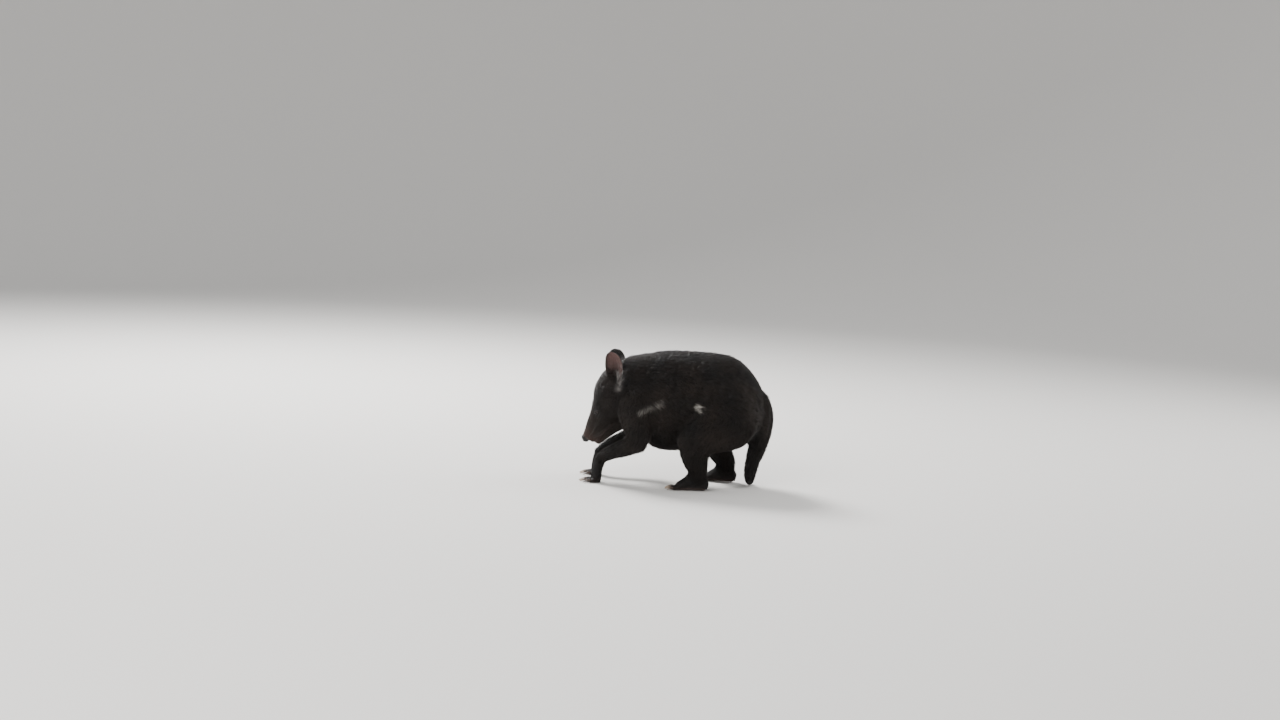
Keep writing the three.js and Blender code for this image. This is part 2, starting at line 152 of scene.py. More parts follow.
@dataclass(frozen=True)
class EyeFrame:
    """The frame of one eye, in the head's frame and in millimetres: its ball, its look and its opening."""

    side: Side
    radius: float = 6.4
    look: tuple[float, float, float] = (-0.35, 0.88, 0.32)
    slant: tuple[float, float, float] = (1.0, 0.0, -0.1)
    opening: tuple[float, float, float] = (5.5, 3.3, 2.9)

    def centre(self) -> np.ndarray:
        """The middle of the ball."""
        return np.array(HEAD.eye) / MM * (1, self.side.value, 1)

    def axes(self) -> tuple[np.ndarray, np.ndarray, np.ndarray]:
        """The eye's own ways in the head's frame.

        Returns:
            The way it looks, the way from its front corner to its rear one, and the way up.
        """
        look = unit(np.array(self.look) * (1, self.side.value, 1))
        along = unit(np.array(self.slant) - look * (look @ np.array(self.slant)))
        across = np.cross(look, along)
        return look, along, across * np.sign(across[2])

    def places(self, local: np.ndarray) -> tuple[np.ndarray, np.ndarray, np.ndarray, np.ndarray]:
        """Places points on the eye.

        Args:
            local: Points in the head's frame, in millimetres.

        Returns:
            Their heights along the look, their two places across it, and how far out they lie in
            shares of the opening of the lids, 1 on the lids' edge.
        """
        height, a, b = (((local - self.centre()) @ axis) for axis in self.axes())
        width, upper, lower = self.opening
        half = np.where(b > 0, upper, lower) * np.clip(1 - 0.18 * a / width, 0.6, 1.3)
        return height, a, b, np.sqrt((np.abs(a) / width) ** 2.2 + (b / half) ** 2)

    def bare(self, local: np.ndarray) -> np.ndarray:
        """How bare the skin is at each point: the narrow ring along the edges of the lids."""
        height, _, _, rim = self.places(local)
        return (1 - ramp(rim, 1.16, 1.4)) * (height > 0)


def select_only(*objects: bpy.types.Object) -> None:
    """Selects these objects alone and makes the first one active.

    Args:
        objects: The objects.
    """
    bpy.ops.object.select_all(action="DESELECT")
    for item in objects:
        item.select_set(True)
    bpy.context.view_layer.objects.active = objects[0]


def apply_modifier(piece: bpy.types.Object, kind: str, **settings: object) -> None:
    """Gives a piece a modifier with these settings and applies it.

    Args:
        piece: The piece.
        kind: The type of the modifier.
        settings: Its values by their names.
    """
    select_only(piece)
    modifier = piece.modifiers.new(kind.lower(), kind)
    for name, value in settings.items():
        setattr(modifier, name, value)
    bpy.ops.object.modifier_apply(modifier=modifier.name)


def placed(name: str, data: bpy.types.ID) -> bpy.types.Object:
    """Puts a new object in the scene.

    Args:
        name: The object's name.
        data: Its mesh, light or camera.

    Returns:
        The object.
    """
    item = bpy.data.objects.new(name, data)
    bpy.context.scene.collection.objects.link(item)
    return item


def copied_solids(names: list[str], swell: float = 0.0) -> bmesh.types.BMesh:
    """Joins copies of solids in one mesh that is open for edits.

    Args:
        names: The names of the solids' nodes.
        swell: How far each copy is blown up, in metres.

    Returns:
        The open mesh.
    """
    whole = bmesh.new()
    for name in names:
        part = bmesh.new()
        part.from_mesh(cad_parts[name].data)
        bmesh.ops.remove_doubles(part, verts=part.verts, dist=MERGE)
        part.normal_update()
        for vert in part.verts:
            vert.co += vert.normal * swell
        mesh = bpy.data.meshes.new(name + "_copy")
        part.to_mesh(mesh)
        part.free()
        whole.from_mesh(mesh)
        bpy.data.meshes.remove(mesh)
    return whole


def piece_from(name: str, whole: bmesh.types.BMesh) -> bpy.types.Object:
    """Makes a piece of an open mesh and closes it.

    Args:
        name: The piece's name.
        whole: The open mesh.

    Returns:
        The piece.
    """
    mesh = bpy.data.meshes.new(name)
    whole.to_mesh(mesh)
    whole.free()
    return placed(name, mesh)


def shade_smooth(piece: bpy.types.Object) -> None:
    """Shades all faces of a piece smooth."""
    piece.data.polygons.foreach_set("use_smooth", np.ones(len(piece.data.polygons), bool))


def read_rows(
    items: bpy.types.bpy_prop_collection, name: str, width: int, kind: type = float
) -> np.ndarray:
    """Reads a value from each item of a mesh.

    Args:
        items: The items, such as the mesh's points.
        name: The name of the value.
        width: How many numbers it has.
        kind: The type of the numbers.

    Returns:
        The values, one item a row.
    """
    rows = np.empty(len(items) * width, kind)
    items.foreach_get(name, rows)
    return rows.reshape(-1, width)


def unit(vectors: np.ndarray) -> np.ndarray:
    """Vectors of length one, one a row."""
    return vectors / np.maximum(np.linalg.norm(vectors, axis=-1, keepdims=True), 1e-12)


def along_surface(way: np.ndarray, normal: np.ndarray) -> np.ndarray:
    """The part of each way that lies in the surface, of length one."""
    return unit(way - normal * (way * normal).sum(axis=1, keepdims=True))


def bell(distance: np.ndarray, reach: float) -> np.ndarray:
    """A soft bump: 1 at distance 0, fading over the reach."""
    return np.exp(-((distance / reach) ** 2))


def ramp(value: np.ndarray, low: float, high: float) -> np.ndarray:
    """Rises smoothly from 0 at low to 1 at high."""
    share = np.clip((value - low) / (high - low), 0, 1)
    return share * share * (3 - 2 * share)


def ripple(points: np.ndarray, wave_mm: float, seed: int) -> np.ndarray:
    """A smooth, seeded wave over space.

    Args:
        points: Points in metres, one a row.
        wave_mm: The usual distance between crests, in millimetres.
        seed: Which wave of this size.

    Returns:
        One value a point, mostly between -1 and 1.
    """
    draw = np.random.default_rng(seed)
    total = np.zeros(len(points))
    for _ in range(6):
        way = unit(draw.normal(size=3)) * 2 * math.pi / (wave_mm * MM * draw.uniform(0.7, 1.5))
        total += np.sin(points @ way + draw.uniform(0, 2 * math.pi))
    return total / 3


def beside_line(points: np.ndarray, line: Line) -> np.ndarray:
    """Measures how far points lie beside a line with corners.

    Args:
        points: Points with as many coordinates as the corners, one a row.
        line: The corners.

    Returns:
        The distance of each point from the line.
    """
    corners = np.array(line, float)
    near = np.full(len(points), 1e9)
    for start, end in zip(corners, corners[1:]):
        offset, way = points - start, end - start
        share = np.clip(offset @ way / (way @ way), 0, 1)
        near = np.minimum(near, np.linalg.norm(offset - share[:, None] * way, axis=1))
    return near


@dataclass
class Surface:
    """A mesh as arrays: its points, normals and edges, for shaping it in code."""

    piece: bpy.types.Object
    points: np.ndarray = field(init=False)
    normals: np.ndarray = field(init=False)
    edges: np.ndarray = field(init=False)
    degree: np.ndarray = field(init=False)

    def __post_init__(self) -> None:
        """Reads the piece's mesh."""
        self.read()

    def read(self) -> None:
        """Reads points, edges and normals from the mesh."""
        mesh = self.piece.data
        self.points = read_rows(mesh.vertices, "co", 3)
        self.edges = read_rows(mesh.edges, "vertices", 2, np.int64)
        self.degree = np.maximum(np.bincount(self.edges.ravel(), minlength=len(self.points)), 1)
        self.read_normals()

    def read_normals(self) -> None:
        """Reads the normals at the points."""
        self.normals = read_rows(self.piece.data.vertices, "normal", 3)

    def write(self) -> None:
        """Writes the points back and reads the new normals."""
        mesh = self.piece.data
        mesh.vertices.foreach_set("co", self.points.ravel())
        mesh.update()
        self.read_normals()

    def average(self, values: np.ndarray) -> np.ndarray:
        """The mean of each point's neighbours, for a value or vector at each point.

        Args:
            values: One value or one row for each point.

        Returns:
            The neighbours' mean, in the same shape.
        """
        flat = values.reshape(len(values), -1)
        first, second = self.edges.T
        total = np.empty_like(flat, dtype=float)
        for k in range(flat.shape[1]):
            column = flat[:, k]
            total[:, k] = np.bincount(first, column[second], len(flat))
            total[:, k] += np.bincount(second, column[first], len(flat))
        return (total / self.degree[:, None]).reshape(values.shape)

    def soften(self, values: np.ndarray, times: int) -> np.ndarray:
        """Spreads values over the surface.

        Args:
            values: One value or one row for each point.
            times: How many steps to the neighbours it takes.

        Returns:
            The spread values.
        """
        for _ in range(times):
            values = 0.5 * (values + self.average(values))
        return values

    def relax(self, share: np.ndarray, times: int) -> None:
        """Smooths the points.

        Args:
            share: How far each point goes to its neighbours' mean in one step, 0 to 1.
            times: How many steps it takes.
        """
        for _ in range(times):
            self.points += share[:, None] * (self.average(self.points) - self.points)
        self.write()


def region_of(name: str) -> Region | None:
    """Finds the region that a node belongs to.

    Args:
        name: The node's name.

    Returns:
        The region, or none for an eye or a claw.
    """
    if "claw" in name:
        return None
    return next((r for r in Region if name.startswith(r.value)), None)


class Flesh:
    """The nodes of flesh and what a point of the skin reads from the nearest of them."""

    def __init__(self) -> None:
        """Lists the nodes and joins their faces into one search tree."""
        self.names = sorted(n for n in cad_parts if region_of(n))
        self.regions = [region_of(n) for n in self.names]
        self.owner: list[int] = []
        corners: list[Vector] = []
        faces: list[tuple[int, ...]] = []
        for index, name in enumerate(self.names):
            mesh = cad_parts[name].data
            start = len(corners)
            corners += [v.co.copy() for v in mesh.vertices]
            faces += [tuple(start + v for v in p.vertices) for p in mesh.polygons]
            self.owner += [index] * len(mesh.polygons)
        self.tree = BVHTree.FromPolygons(corners, faces)

    def nearest(self, points: np.ndarray) -> np.ndarray:
        """The number of the nearest node for each point."""
        find = self.tree.find_nearest
        return np.array([self.owner[find(p)[2]] for p in points.tolist()])

    def lie(self) -> np.ndarray:
        """The way the hair lies on each node, before it is laid along the skin.

        Returns:
            The ways, one node a row.
        """
        ways = {
            "nose": HEAD.direction(1, 0, 0.5),
            "lower_jaw": HEAD.direction(1, 0, -0.2),
            "head": HEAD.direction(1, 0, 0.12),
            "ear_left": (0.15, -0.1, 1.0),
            "ear_right": (0.15, 0.1, 1.0),
            "neck": (1.0, 0, -0.42),
            "torso": (1.0, 0, -0.34),
        }
        chains = [["tail_base", "tail_middle", "tail_tip"]]
        for side in Side:
            for leg, parts in ("fore", ("upper_arm", "forearm")), ("hind", ("thigh", "shank")):
                chains.append([f"{side.name.lower()}_{leg}_{p}" for p in (*parts, "foot")])
        for chain in chains:
            middles = [np.array(sum(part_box(name), Vector()) / 2) for name in chain]
            for name, here, onward in zip(chain, middles, middles[1:]):
                ways[name] = onward - here
            ways[chain[-1]] = (-0.9, 0, -0.5) if chain[-1].endswith("foot") else ways[chain[-2]]
        return unit(np.array([ways[n] for n in self.names]))


@dataclass
class Skin:
    """One skin over the whole body, inside the solids by the depth of the coat."""

    flesh: Flesh
    voxel: float = 1.25 * MM
    overlap: float = 0.55 * MM
    faces_kept: int = 160000
    mouth_core: Line = (
        (9.0, 5.0, -9.0, -17.0),
        (13.0, 9.0, -10.0, -18.0),
        (28.0, 18.3, -11.0, -19.5),
        (45.0, 22.0, -13.0, -22.0),
        (58.0, 26.0, -15.0, -27.0),
        (70.0, 32.0, -15.0, -36.0),
        (84.0, 39.0, -15.0, -42.0),
        (98.0, 44.0, -15.0, -46.0),
    )
    kept_finest: tuple[tuple[Region, float], ...] = (
        (Region.MUZZLE, 1.0),
        (Region.HEAD, 0.75),
        (Region.EAR, 0.8),
        (Region.FOOT, 0.9),
    )
    piece: bpy.types.Object = field(init=False)
    surface: Surface = field(init=False)
    joint: np.ndarray = field(init=False)
    is_region: dict[Region, np.ndarray] = field(init=False)
    coat: np.ndarray = field(init=False)
    lie: np.ndarray = field(init=False)

    def build(self) -> bpy.types.Object:
        """Makes the skin.

        Returns:
            The finished skin.
        """
        whole = copied_solids([*self.flesh.names, "eye_left", "eye_right"], self.overlap)
        self.add_mouth_core(whole)
        self.piece = piece_from("skin", whole)
        apply_modifier(self.piece, "REMESH", mode="VOXEL", voxel_size=self.voxel)
        log.info("skin remeshed: %d faces", len(self.piece.data.polygons))
        self.surface = Surface(self.piece)
        self.read_regions()
        self.shape_body()
        self.shape_face()
        shade_smooth(self.piece)
        self.unwrap()
        return self.piece

    def add_mouth_core(self, whole: bmesh.types.BMesh) -> None:
        """Fills the slit behind the lips and the corner of the mouth, so that only a groove is left.

        Args:
            whole: The mesh that the filling is added to.
        """
        rings = []
        outline = ((-1, 0.5), (-0.9, 0), (0.9, 0), (1, 0.5), (0.9, 1), (-0.9, 1))
        for x, half, top, bottom in self.mouth_core:
            places = [HEAD.world(x, y * half, top + t * (bottom - top)) for y, t in outline]
            rings.append([whole.verts.new(place) for place in places])
        faces = [whole.faces.new(rings[0]), whole.faces.new(rings[-1][::-1])]
        for one, two in zip(rings, rings[1:]):
            for k in range(6):
                faces.append(whole.faces.new((one[k], two[k], two[(k + 1) % 6], one[(k + 1) % 6])))
        bmesh.ops.recalc_face_normals(whole, faces=faces)

    def read_regions(self) -> None:
        """Gives each point its region's coat and lie, blended over the borders."""
        surface = self.surface
        owner = self.flesh.nearest(surface.points)
        plain = np.array([r not in (Region.EAR, Region.MUZZLE) for r in self.flesh.regions])
        first, second = surface.edges.T
        border = (owner[first] != owner[second]) & plain[owner[first]] & plain[owner[second]]
        joint = np.zeros(len(owner))
        joint[surface.edges[border].ravel()] = 1
        self.joint = np.clip(4 * surface.soften(joint, 36), 0, 1)
        self.is_region = {
            region: np.isin(owner, [i for i, r in enumerate(self.flesh.regions) if r is region])
            for region in Region
        }
        coats = [HAIR[r] for r in self.flesh.regions]
        table = np.array([[c.depth, c.length, c.width, c.density] for c in coats])
        self.coat = surface.soften(table[owner], 12)
        self.lie = surface.soften(self.flesh.lie()[owner], 22)
        self.taper_head(owner)
        self.taper_ears()

    def taper_ears(self) -> None:
        """Lets the hair of the ears grow longer at the base and along the rims."""
        on_ear = self.is_region[Region.EAR]
        high, wide = EarFrame.places(self.surface.points)
        low = 1 - ramp(high, 0.05, 0.38)
        rim = ramp(np.abs(wide), 0.72, 0.95)
        length = 2.8 + 6.0 * low + 1.6 * rim
        self.coat[:, 1] += on_ear * (length - self.coat[:, 1])
        self.coat[:, 0] += on_ear * (0.3 + 1.5 * low - self.coat[:, 0]) * 0.8

    def taper_head(self, owner: np.ndarray) -> None:
        """Lets the coat of the head grow from the muzzle to the nape, and thins it round the eyes.

        Args:
            owner: The number of the nearest node for each point.
        """
        local = HEAD.local(self.surface.points)
        names = [i for i, r in enumerate(self.flesh.regions) if r in (Region.HEAD, Region.MUZZLE)]
        share = self.surface.soften(np.isin(owner, names).astype(float), 6)
        back = ramp(local[:, 0], 25, 145)
        away = np.min([np.linalg.norm(local - EyeFrame(side).centre(), axis=1) for side in Side], axis=0)
        open_face = 0.42 + 0.58 * ramp(away, 8, 20)
        length = (2.2 + 9.5 * back) * open_face
        depth = np.maximum((0.6 + 4.0 * back) * open_face, 0.5)
        width = (0.24 + 0.42 * back) * (0.7 + 0.3 * ramp(away, 8, 16))
        density = 1.9 - 1.35 * back
        head = np.stack([depth, length, width, density], axis=1)
        self.coat += share[:, None] * (head - self.coat)

    def shape_body(self) -> None:
        """Smooths the joins of the limbs and sinks the skin by the coat's depth."""
        surface = self.surface
        fine = self.is_region[Region.FOOT] | self.is_region[Region.EAR]
        fine |= self.is_region[Region.MUZZLE] | self.is_region[Region.HEAD]
        free = surface.soften(np.where(fine, 0.0, 1.0), 10)
        surface.relax(0.55 * free + 0.02, 26)
        surface.relax(0.9 * self.joint * (0.3 + 0.7 * free), 90)
        surface.relax(np.full(len(surface.points), 0.35), 2)
        depth = self.coat[:, 0] * MM + self.overlap
        surface.points -= surface.normals * depth[:, None]
        surface.write()
        surface.relax(0.4 * free + 0.04, 5)

    def shape_face(self) -> None:
        """Thins the mesh, refines it round eyes, nose and mouth, and shapes them."""
        self.thin()
        for reach, eye_reach in ((1.0, 9.0), (0.5, 7.6)):
            self.refine(reach, eye_reach)
        self.surface.read()
        self.read_regions()
        face = Face(self.surface)
        face.mouth()
        for side in Side:
            face.lids(side)
        face.nose()
        face.pads()
        face.ears(self.is_region[Region.EAR])
        self.surface.write()

    def thin(self) -> None:
        """Thins the mesh to the number of faces kept, least on head, ears and feet."""
        keep = np.zeros(len(self.surface.points))
        for region, weight in self.kept_finest:
            keep[self.is_region[region]] = weight
        keep = self.surface.soften(keep, 8)
        group = self.piece.vertex_groups.new(name="thin")
        for step in range(10):
            members = np.nonzero((keep * 10).astype(int) == step)[0].tolist()
            group.add(members, 1 - step / 10, "REPLACE")
        group.add(np.nonzero(keep >= 1)[0].tolist(), 0.0, "REPLACE")
        ratio = self.faces_kept / (2 * len(self.piece.data.polygons))
        apply_modifier(self.piece, "DECIMATE", ratio=ratio, vertex_group=group.name, vertex_group_factor=3)
        self.piece.vertex_groups.clear()
        self.surface.read()
        log.info("skin thinned: %d triangles", len(self.piece.data.polygons))

    def refine(self, reach: float, eye_reach: float) -> None:
        """Splits the edges near eyes, nose and mouth once.

        Args:
            reach: Share of the full distance from the nose and the line of the mouth.
            eye_reach: Distance from the middle of an eye, in millimetres.
        """
        self.surface.read()
        local = HEAD.local(self.surface.points)
        x, y, z = local[:, 0], np.abs(local[:, 1]), local[:, 2]
        near = (x < 7.5 * reach) & (y < 18 * reach + 3) & (np.abs(z - 2) < 12)
        near |= from_mouth(local) < 2.6 * reach
        for side in Side:
            near |= np.linalg.norm(local - EyeFrame(side).centre(), axis=1) < eye_reach
        mesh = bmesh.new()
        mesh.from_mesh(self.piece.data)
        edges = [e for e in mesh.edges if near[e.verts[0].index] and near[e.verts[1].index]]
        bmesh.ops.subdivide_edges(mesh, edges=edges, cuts=1, use_grid_fill=True)
        bmesh.ops.triangulate(mesh, faces=[f for f in mesh.faces if len(f.verts) > 3])
        mesh.to_mesh(self.piece.data)
        mesh.free()
        self.piece.data.update()

    def unwrap(self) -> None:
        """Unwraps the skin by its own shape, in the map that the coat's patches lie on."""
        self.piece.data.uv_layers.new(name="OFBake")
        select_only(self.piece)
        bpy.ops.object.mode_set(mode="EDIT")
        bpy.ops.mesh.select_all(action="SELECT")
        bpy.ops.uv.smart_project(angle_limit=math.radians(66), island_margin=0.002)
        bpy.ops.object.mode_set(mode="OBJECT")


MOUTH_LINE: Line = (
    (6.5, 0, -12.9),
    (9.5, 7.5, -13.3),
    (12, 11.3, -13.8),
    (27.5, 20, -15.2),
    (45, 23.8, -17.2),
    (62, 29.2, -21.9),
)


def from_mouth(local: np.ndarray) -> np.ndarray:
    """How far points in the head's frame are from the line of the mouth on their side, in millimetres."""
    return beside_line(local * (1, 0, 1) + np.abs(local) * (0, 1, 0), MOUTH_LINE)


@dataclass
class Face:
    """Lids, nose, mouth, ears and whisker pads, shaped in the skin, with sizes in millimetres."""

    surface: Surface
    lid: float = 0.7
    crease: float = 0.5
    nostril: Span = (5.6, 3.6)
    nostril_half: Span = (2.5, 1.9)
    nostril_depth: float = 4.2
    slit_depth: float = 1.3
    parting_depth: float = 0.95
    groove: float = 1.9
    lip: float = 0.45
    whisker_pad: float = 0.34
    lid_edge: float = 0.22
    lid_soft: float = 1.1
    nostril_rim: float = 0.75
    nose_edge: float = 0.45
    front_fold: float = 1.5
    back_fold: float = 1.3
    bridge: float = 0.8
    conch: float = 1.0
    ear_ridge: float = 0.16
    ear_rim: float = 0.35

    def local(self) -> np.ndarray:
        """The skin's points in the head's frame, in millimetres."""
        return HEAD.local(self.surface.points)

    def place(self, local: np.ndarray) -> None:
        """Puts the skin's points where they belong after a change in the head's frame.

        Args:
            local: All the points in the head's frame, in millimetres.
        """
        turn = np.array(HEAD.matrix.to_3x3())
        self.surface.points = (local * MM) @ turn.T + np.array(HEAD.matrix.translation)
        self.surface.write()

    def smooth_near(self, near: np.ndarray, times: int) -> None:
        """Smooths the skin where near is high."""
        self.surface.relax(np.clip(near, 0, 1) * 0.8, times)

    def lids(self, side: Side) -> None:
        """Shapes the two lids over the ball of one eye.

        Args:
            side: Which eye.
        """
        eye = EyeFrame(side)
        distance = np.linalg.norm(self.local() - eye.centre(), axis=1)
        self.smooth_near(1 - ramp(distance, 9, 15), 34)
        local = self.local()
        height, a, b, rim = eye.places(local)
        radial = np.hypot(a, b)
        cover = eye.radius + self.lid
        ball = np.sqrt(np.maximum(cover**2 - radial**2, 0)) - 6 * ramp(radial, cover - 1.2, cover + 1)
        raised = self.lid_soft * np.logaddexp(ball / self.lid_soft, height / self.lid_soft)
        crease = self.crease * bell(rim - 1.62, 0.2) * (radial < 9) * np.where(b > 0, 1.0, 0.7)
        edge = self.lid_edge * bell(rim - 1.14, 0.13)
        inside = 1 - ramp(rim, 0.9, 1.04)
        wanted = raised - crease + edge - inside * (self.lid + 1.5)
        share = (1 - ramp(radial, 9.5, 13)) * (height > -3)
        local += (share * (wanted - height))[:, None] * eye.axes()[0]
        self.place(local)

    def nose(self) -> None:
        """Shapes the pad of the nose, with nostrils, their slits and the groove between them."""
        local = self.local()
        centre = np.array((4, 0, 4.5))
        distance = np.linalg.norm((local - centre) / (10, 15, 11), axis=1)
        self.smooth_near(1 - ramp(distance, 0.9, 1.25), 5)
        local = self.local()
        y = np.abs(local[:, 1])
        x, z = local[:, 0], local[:, 2]
        front = 1 - ramp(x, 1, 5)
        (aside, above), (half_width, half_height) = self.nostril, self.nostril_half
        hole = np.hypot((y - aside) / half_width, (z - above) / half_height)
        shift = self.nostril_depth * bell(hole, 0.82) * front
        shift -= self.nostril_rim * bell(hole - 1.5, 0.42) * front
        outward = np.clip((y - 7) / 5.5, 0, 1)
        slit = np.abs(z - (above - 0.6 - 2.6 * outward))
        shift += self.slit_depth * bell(slit, 0.75) * ramp(y, 6.5, 8) * (1 - ramp(y, 11, 13.5)) * (x < 7)
        shift += self.parting_depth * bell(y, 0.85) * (1 - ramp(x, 4, 7)) * (z < 7) * (z > -12)
        local[:, 0] += shift
        edge = bell(x - 8.2, 0.9) * (z > -6) * (y < 16)
        local[:, 2] -= self.nose_edge * edge * (z > 0)
        self.place(local)

    def mouth(self) -> None:
        """Deepens the line between the lips and rounds the lips beside it."""
        self.smooth_near(1 - ramp(from_mouth(self.local()), 3.5, 6.5), 6)
        local = self.local()
        distance = from_mouth(local)
        corner = 1 - ramp(local[:, 0], 60, 66)
        flat = np.zeros(len(local))
        inward = unit(np.stack([flat + 0.35, -np.sign(local[:, 1]), flat], axis=1))
        front = 1 - ramp(np.abs(local[:, 1]), 3, 9)
        inward = unit(inward + front[:, None] * np.array((1.4, 0, 0)))
        depth = self.groove * bell(distance, 0.95) - self.lip * bell(distance - 2.4, 0.9)
        local += (depth * corner)[:, None] * inward
        self.place(local)

    def ears(self, on_ear: np.ndarray) -> None:
        """Shapes the folds in the cups of the ears and their rolled rims.

        Args:
            on_ear: Which points of the skin are on an ear.
        """
        points, normals = self.surface.points, self.surface.normals
        high, wide = EarFrame.places(points)
        inner = on_ear * ramp(EarFrame.facing(points, normals), 0.2, 0.6)
        front_fold = bell(wide + 0.62 - 0.35 * high, 0.13) * (1 - ramp(high, 0.42, 0.74))
        back_fold = bell(wide - 0.46 + 0.9 * (high - 0.2) ** 2, 0.13) * (1 - ramp(high, 0.55, 0.85))
        bridge = bell(high - 0.46 - 0.12 * wide, 0.045) * (1 - ramp(np.abs(wide), 0.3, 0.5))
        conch = bell(np.hypot(wide / 0.5, (high - 0.3) / 0.22), 1.0)
        ridges = self.ear_ridge * np.sin(wide * 34)
        ridges = ridges * (1 - ramp(high, 0.6, 0.95)) * (1 - ramp(np.abs(wide), 0.6, 0.8))
        shift = self.front_fold * front_fold + self.back_fold * back_fold + self.bridge * bridge
        shift = shift - self.conch * conch + ridges
        rim = self.ear_rim * on_ear * np.maximum(ramp(np.abs(wide), 0.86, 0.98), ramp(high, 0.94, 0.99))
        points += normals * ((inner * shift + rim) * MM)[:, None]
        self.surface.write()

    def pads(self) -> None:
        """Raises the rows of whisker roots and the folds of the cheek beside the nose."""
        local = self.local()
        outer = np.abs(local[:, 1])
        beside = np.sign(local[:, 1]) * self.whisker_pad * (outer > 6) * (outer < 40)
        for x, z in Whiskers.roots():
            local[:, 1] += beside * bell(np.hypot(local[:, 0] - x, local[:, 2] - z), 1.3)
        self.place(local)


@dataclass(frozen=True)
class Tones:
    """The colours of coat, bare skin, eyes and horn, as linear red, green and blue."""

    black: Tone = (0.0068, 0.0058, 0.0055)
    brown: Tone = (0.030, 0.0205, 0.0160)
    muzzle: Tone = (0.060, 0.034, 0.027)
    nose: Tone = (0.0080, 0.0066, 0.0064)
    lip: Tone = (0.030, 0.0175, 0.0155)
    mouth: Tone = (0.040, 0.0135, 0.0115)
    ear: Tone = (0.068, 0.030, 0.026)
    # painted highlight: pale grey hair that stands for the lit rear rims of the ears
    painted_rim_highlight: Tone = (0.34, 0.315, 0.30)
    # painted shade for the hollows of the ears
    painted_ear_shade: Tone = (0.021, 0.0098, 0.0086)
    pad: Tone = (0.050, 0.034, 0.030)
    white: Tone = (0.560, 0.530, 0.485)
    horn: Tone = (0.300, 0.225, 0.160)
    quick: Tone = (0.060, 0.042, 0.034)
    ball: Tone = (0.012, 0.008, 0.0065)
    iris: Tone = (0.0095, 0.0046, 0.0028)
    pupil: Tone = (0.002, 0.0016, 0.0016)
    iris_edge: Tone = (0.004, 0.003, 0.0025)
    bristle: Tone = (0.02, 0.017, 0.015)
    pale_floor: Tone = (0.72, 0.70, 0.67)
    studio: Tone = (0.9, 0.92, 0.95)


TONES = Tones()


def blend(base: np.ndarray, tone: Tone | np.ndarray, share: np.ndarray) -> np.ndarray:
    """Mixes a tone into colours by a share for each row."""
    return base + np.clip(share, 0, 1)[:, None] * (np.array(tone) - base)


@dataclass
class Markings:
    """The coat's markings and painted light and shade, the same on skin and tufts, in millimetres."""

    band: float = 8.0
    band_middle: float = -97
    band_height: Span = (94, 132)
    band_half: float = 50
    spot: tuple[float, float, float] = (31, -84, 168.8)
    spot_radius: float = 10.4
    spot_white: float = 0.8
    streak: Line = ((-70, 155), (-54, 165), (-39, 173))
    streak_half: float = 3.6
    streak_white: float = 0.27
    # painted highlight along the rear rim of each ear, laid as pale hair
    ear_rim_highlight: Line = ((-119, 236), (-122, 184))
    ear_rim_highlight_half: float = 5.5

    def white(self, points: np.ndarray) -> np.ndarray:
        """How white the coat is at each point: the band of the chest, the streak and the spot.

        Args:
            points: Points on the body, in metres.

        Returns:
            A share from 0 to 1 for each point.
        """
        p = points / MM
        rough = ripple(points, 7, 3)
        x, y, z = p.T
        middle = self.band_middle - 0.006 * y**2 + 0.18 * (z - 110)
        low, high = self.band_height
        chest = ramp(self.band + 2.0 * rough - np.abs(x - middle), -1.2, 1.2)
        chest *= ramp(high + 3 * rough - z, 0, 5) * ramp(self.band_half + 4 * rough - np.abs(y), 0, 6)
        chest *= ramp(z, low, low + 4)
        away = np.linalg.norm(p - np.array(self.spot), axis=1)
        spot = self.spot_white * ramp(self.spot_radius + 1.6 * rough - away, -2.0, 2.0)
        edge = self.streak_half + 1.4 * rough + 1.4 * ripple(points, 3.5, 9)
        near = beside_line(p[:, ::2], self.streak)
        streak = self.streak_white * ramp(edge - near, -3.5, 4.5) * (y < -22)
        return np.max([chest, spot, streak], axis=0)

    def fur(self, points: np.ndarray) -> np.ndarray:
        """The colour of the hair at each point.

        Args:
            points: Points on the body, in metres.

        Returns:
            A linear colour for each point.
        """
        local = HEAD.local(points)
        colours = np.tile(np.array(TONES.black), (len(points), 1))
        colours = blend(colours, TONES.brown, 0.22 + 0.2 * ripple(points, 60, 5))
        on_head = (1 - ramp(np.abs(local[:, 1]), 44, 56)) * (local[:, 0] < 120)
        on_head *= ramp(local[:, 2], -30 - 0.25 * local[:, 0], -26 - 0.25 * local[:, 0])
        face = on_head * (1 - ramp(local[:, 0], 18, 78))
        colours = blend(colours, TONES.brown, 0.75 * face)
        colours = blend(colours, TONES.muzzle, on_head * (1 - ramp(local[:, 0], 8, 34)) * 0.8)
        # painted shade: the hair darker towards the ground, standing in for the self-shadow that the short
        # hair of legs and feet lacks
        colours *= 1 - 0.35 * (1 - ramp(points[:, 2:3] / MM, 25, 85))
        p = points / MM
        # painted highlight: pale hair along the rear rim of each ear, where light catches it
        beside = beside_line(p[:, ::2], self.ear_rim_highlight)
        ear_rim_highlight = bell(beside, self.ear_rim_highlight_half) * (np.abs(p[:, 1]) > 34)
        colours = blend(colours, TONES.painted_rim_highlight, ear_rim_highlight * (0.55 + 0.3 * ripple(points, 5, 12)))
        return blend(colours, TONES.white, self.white(points))


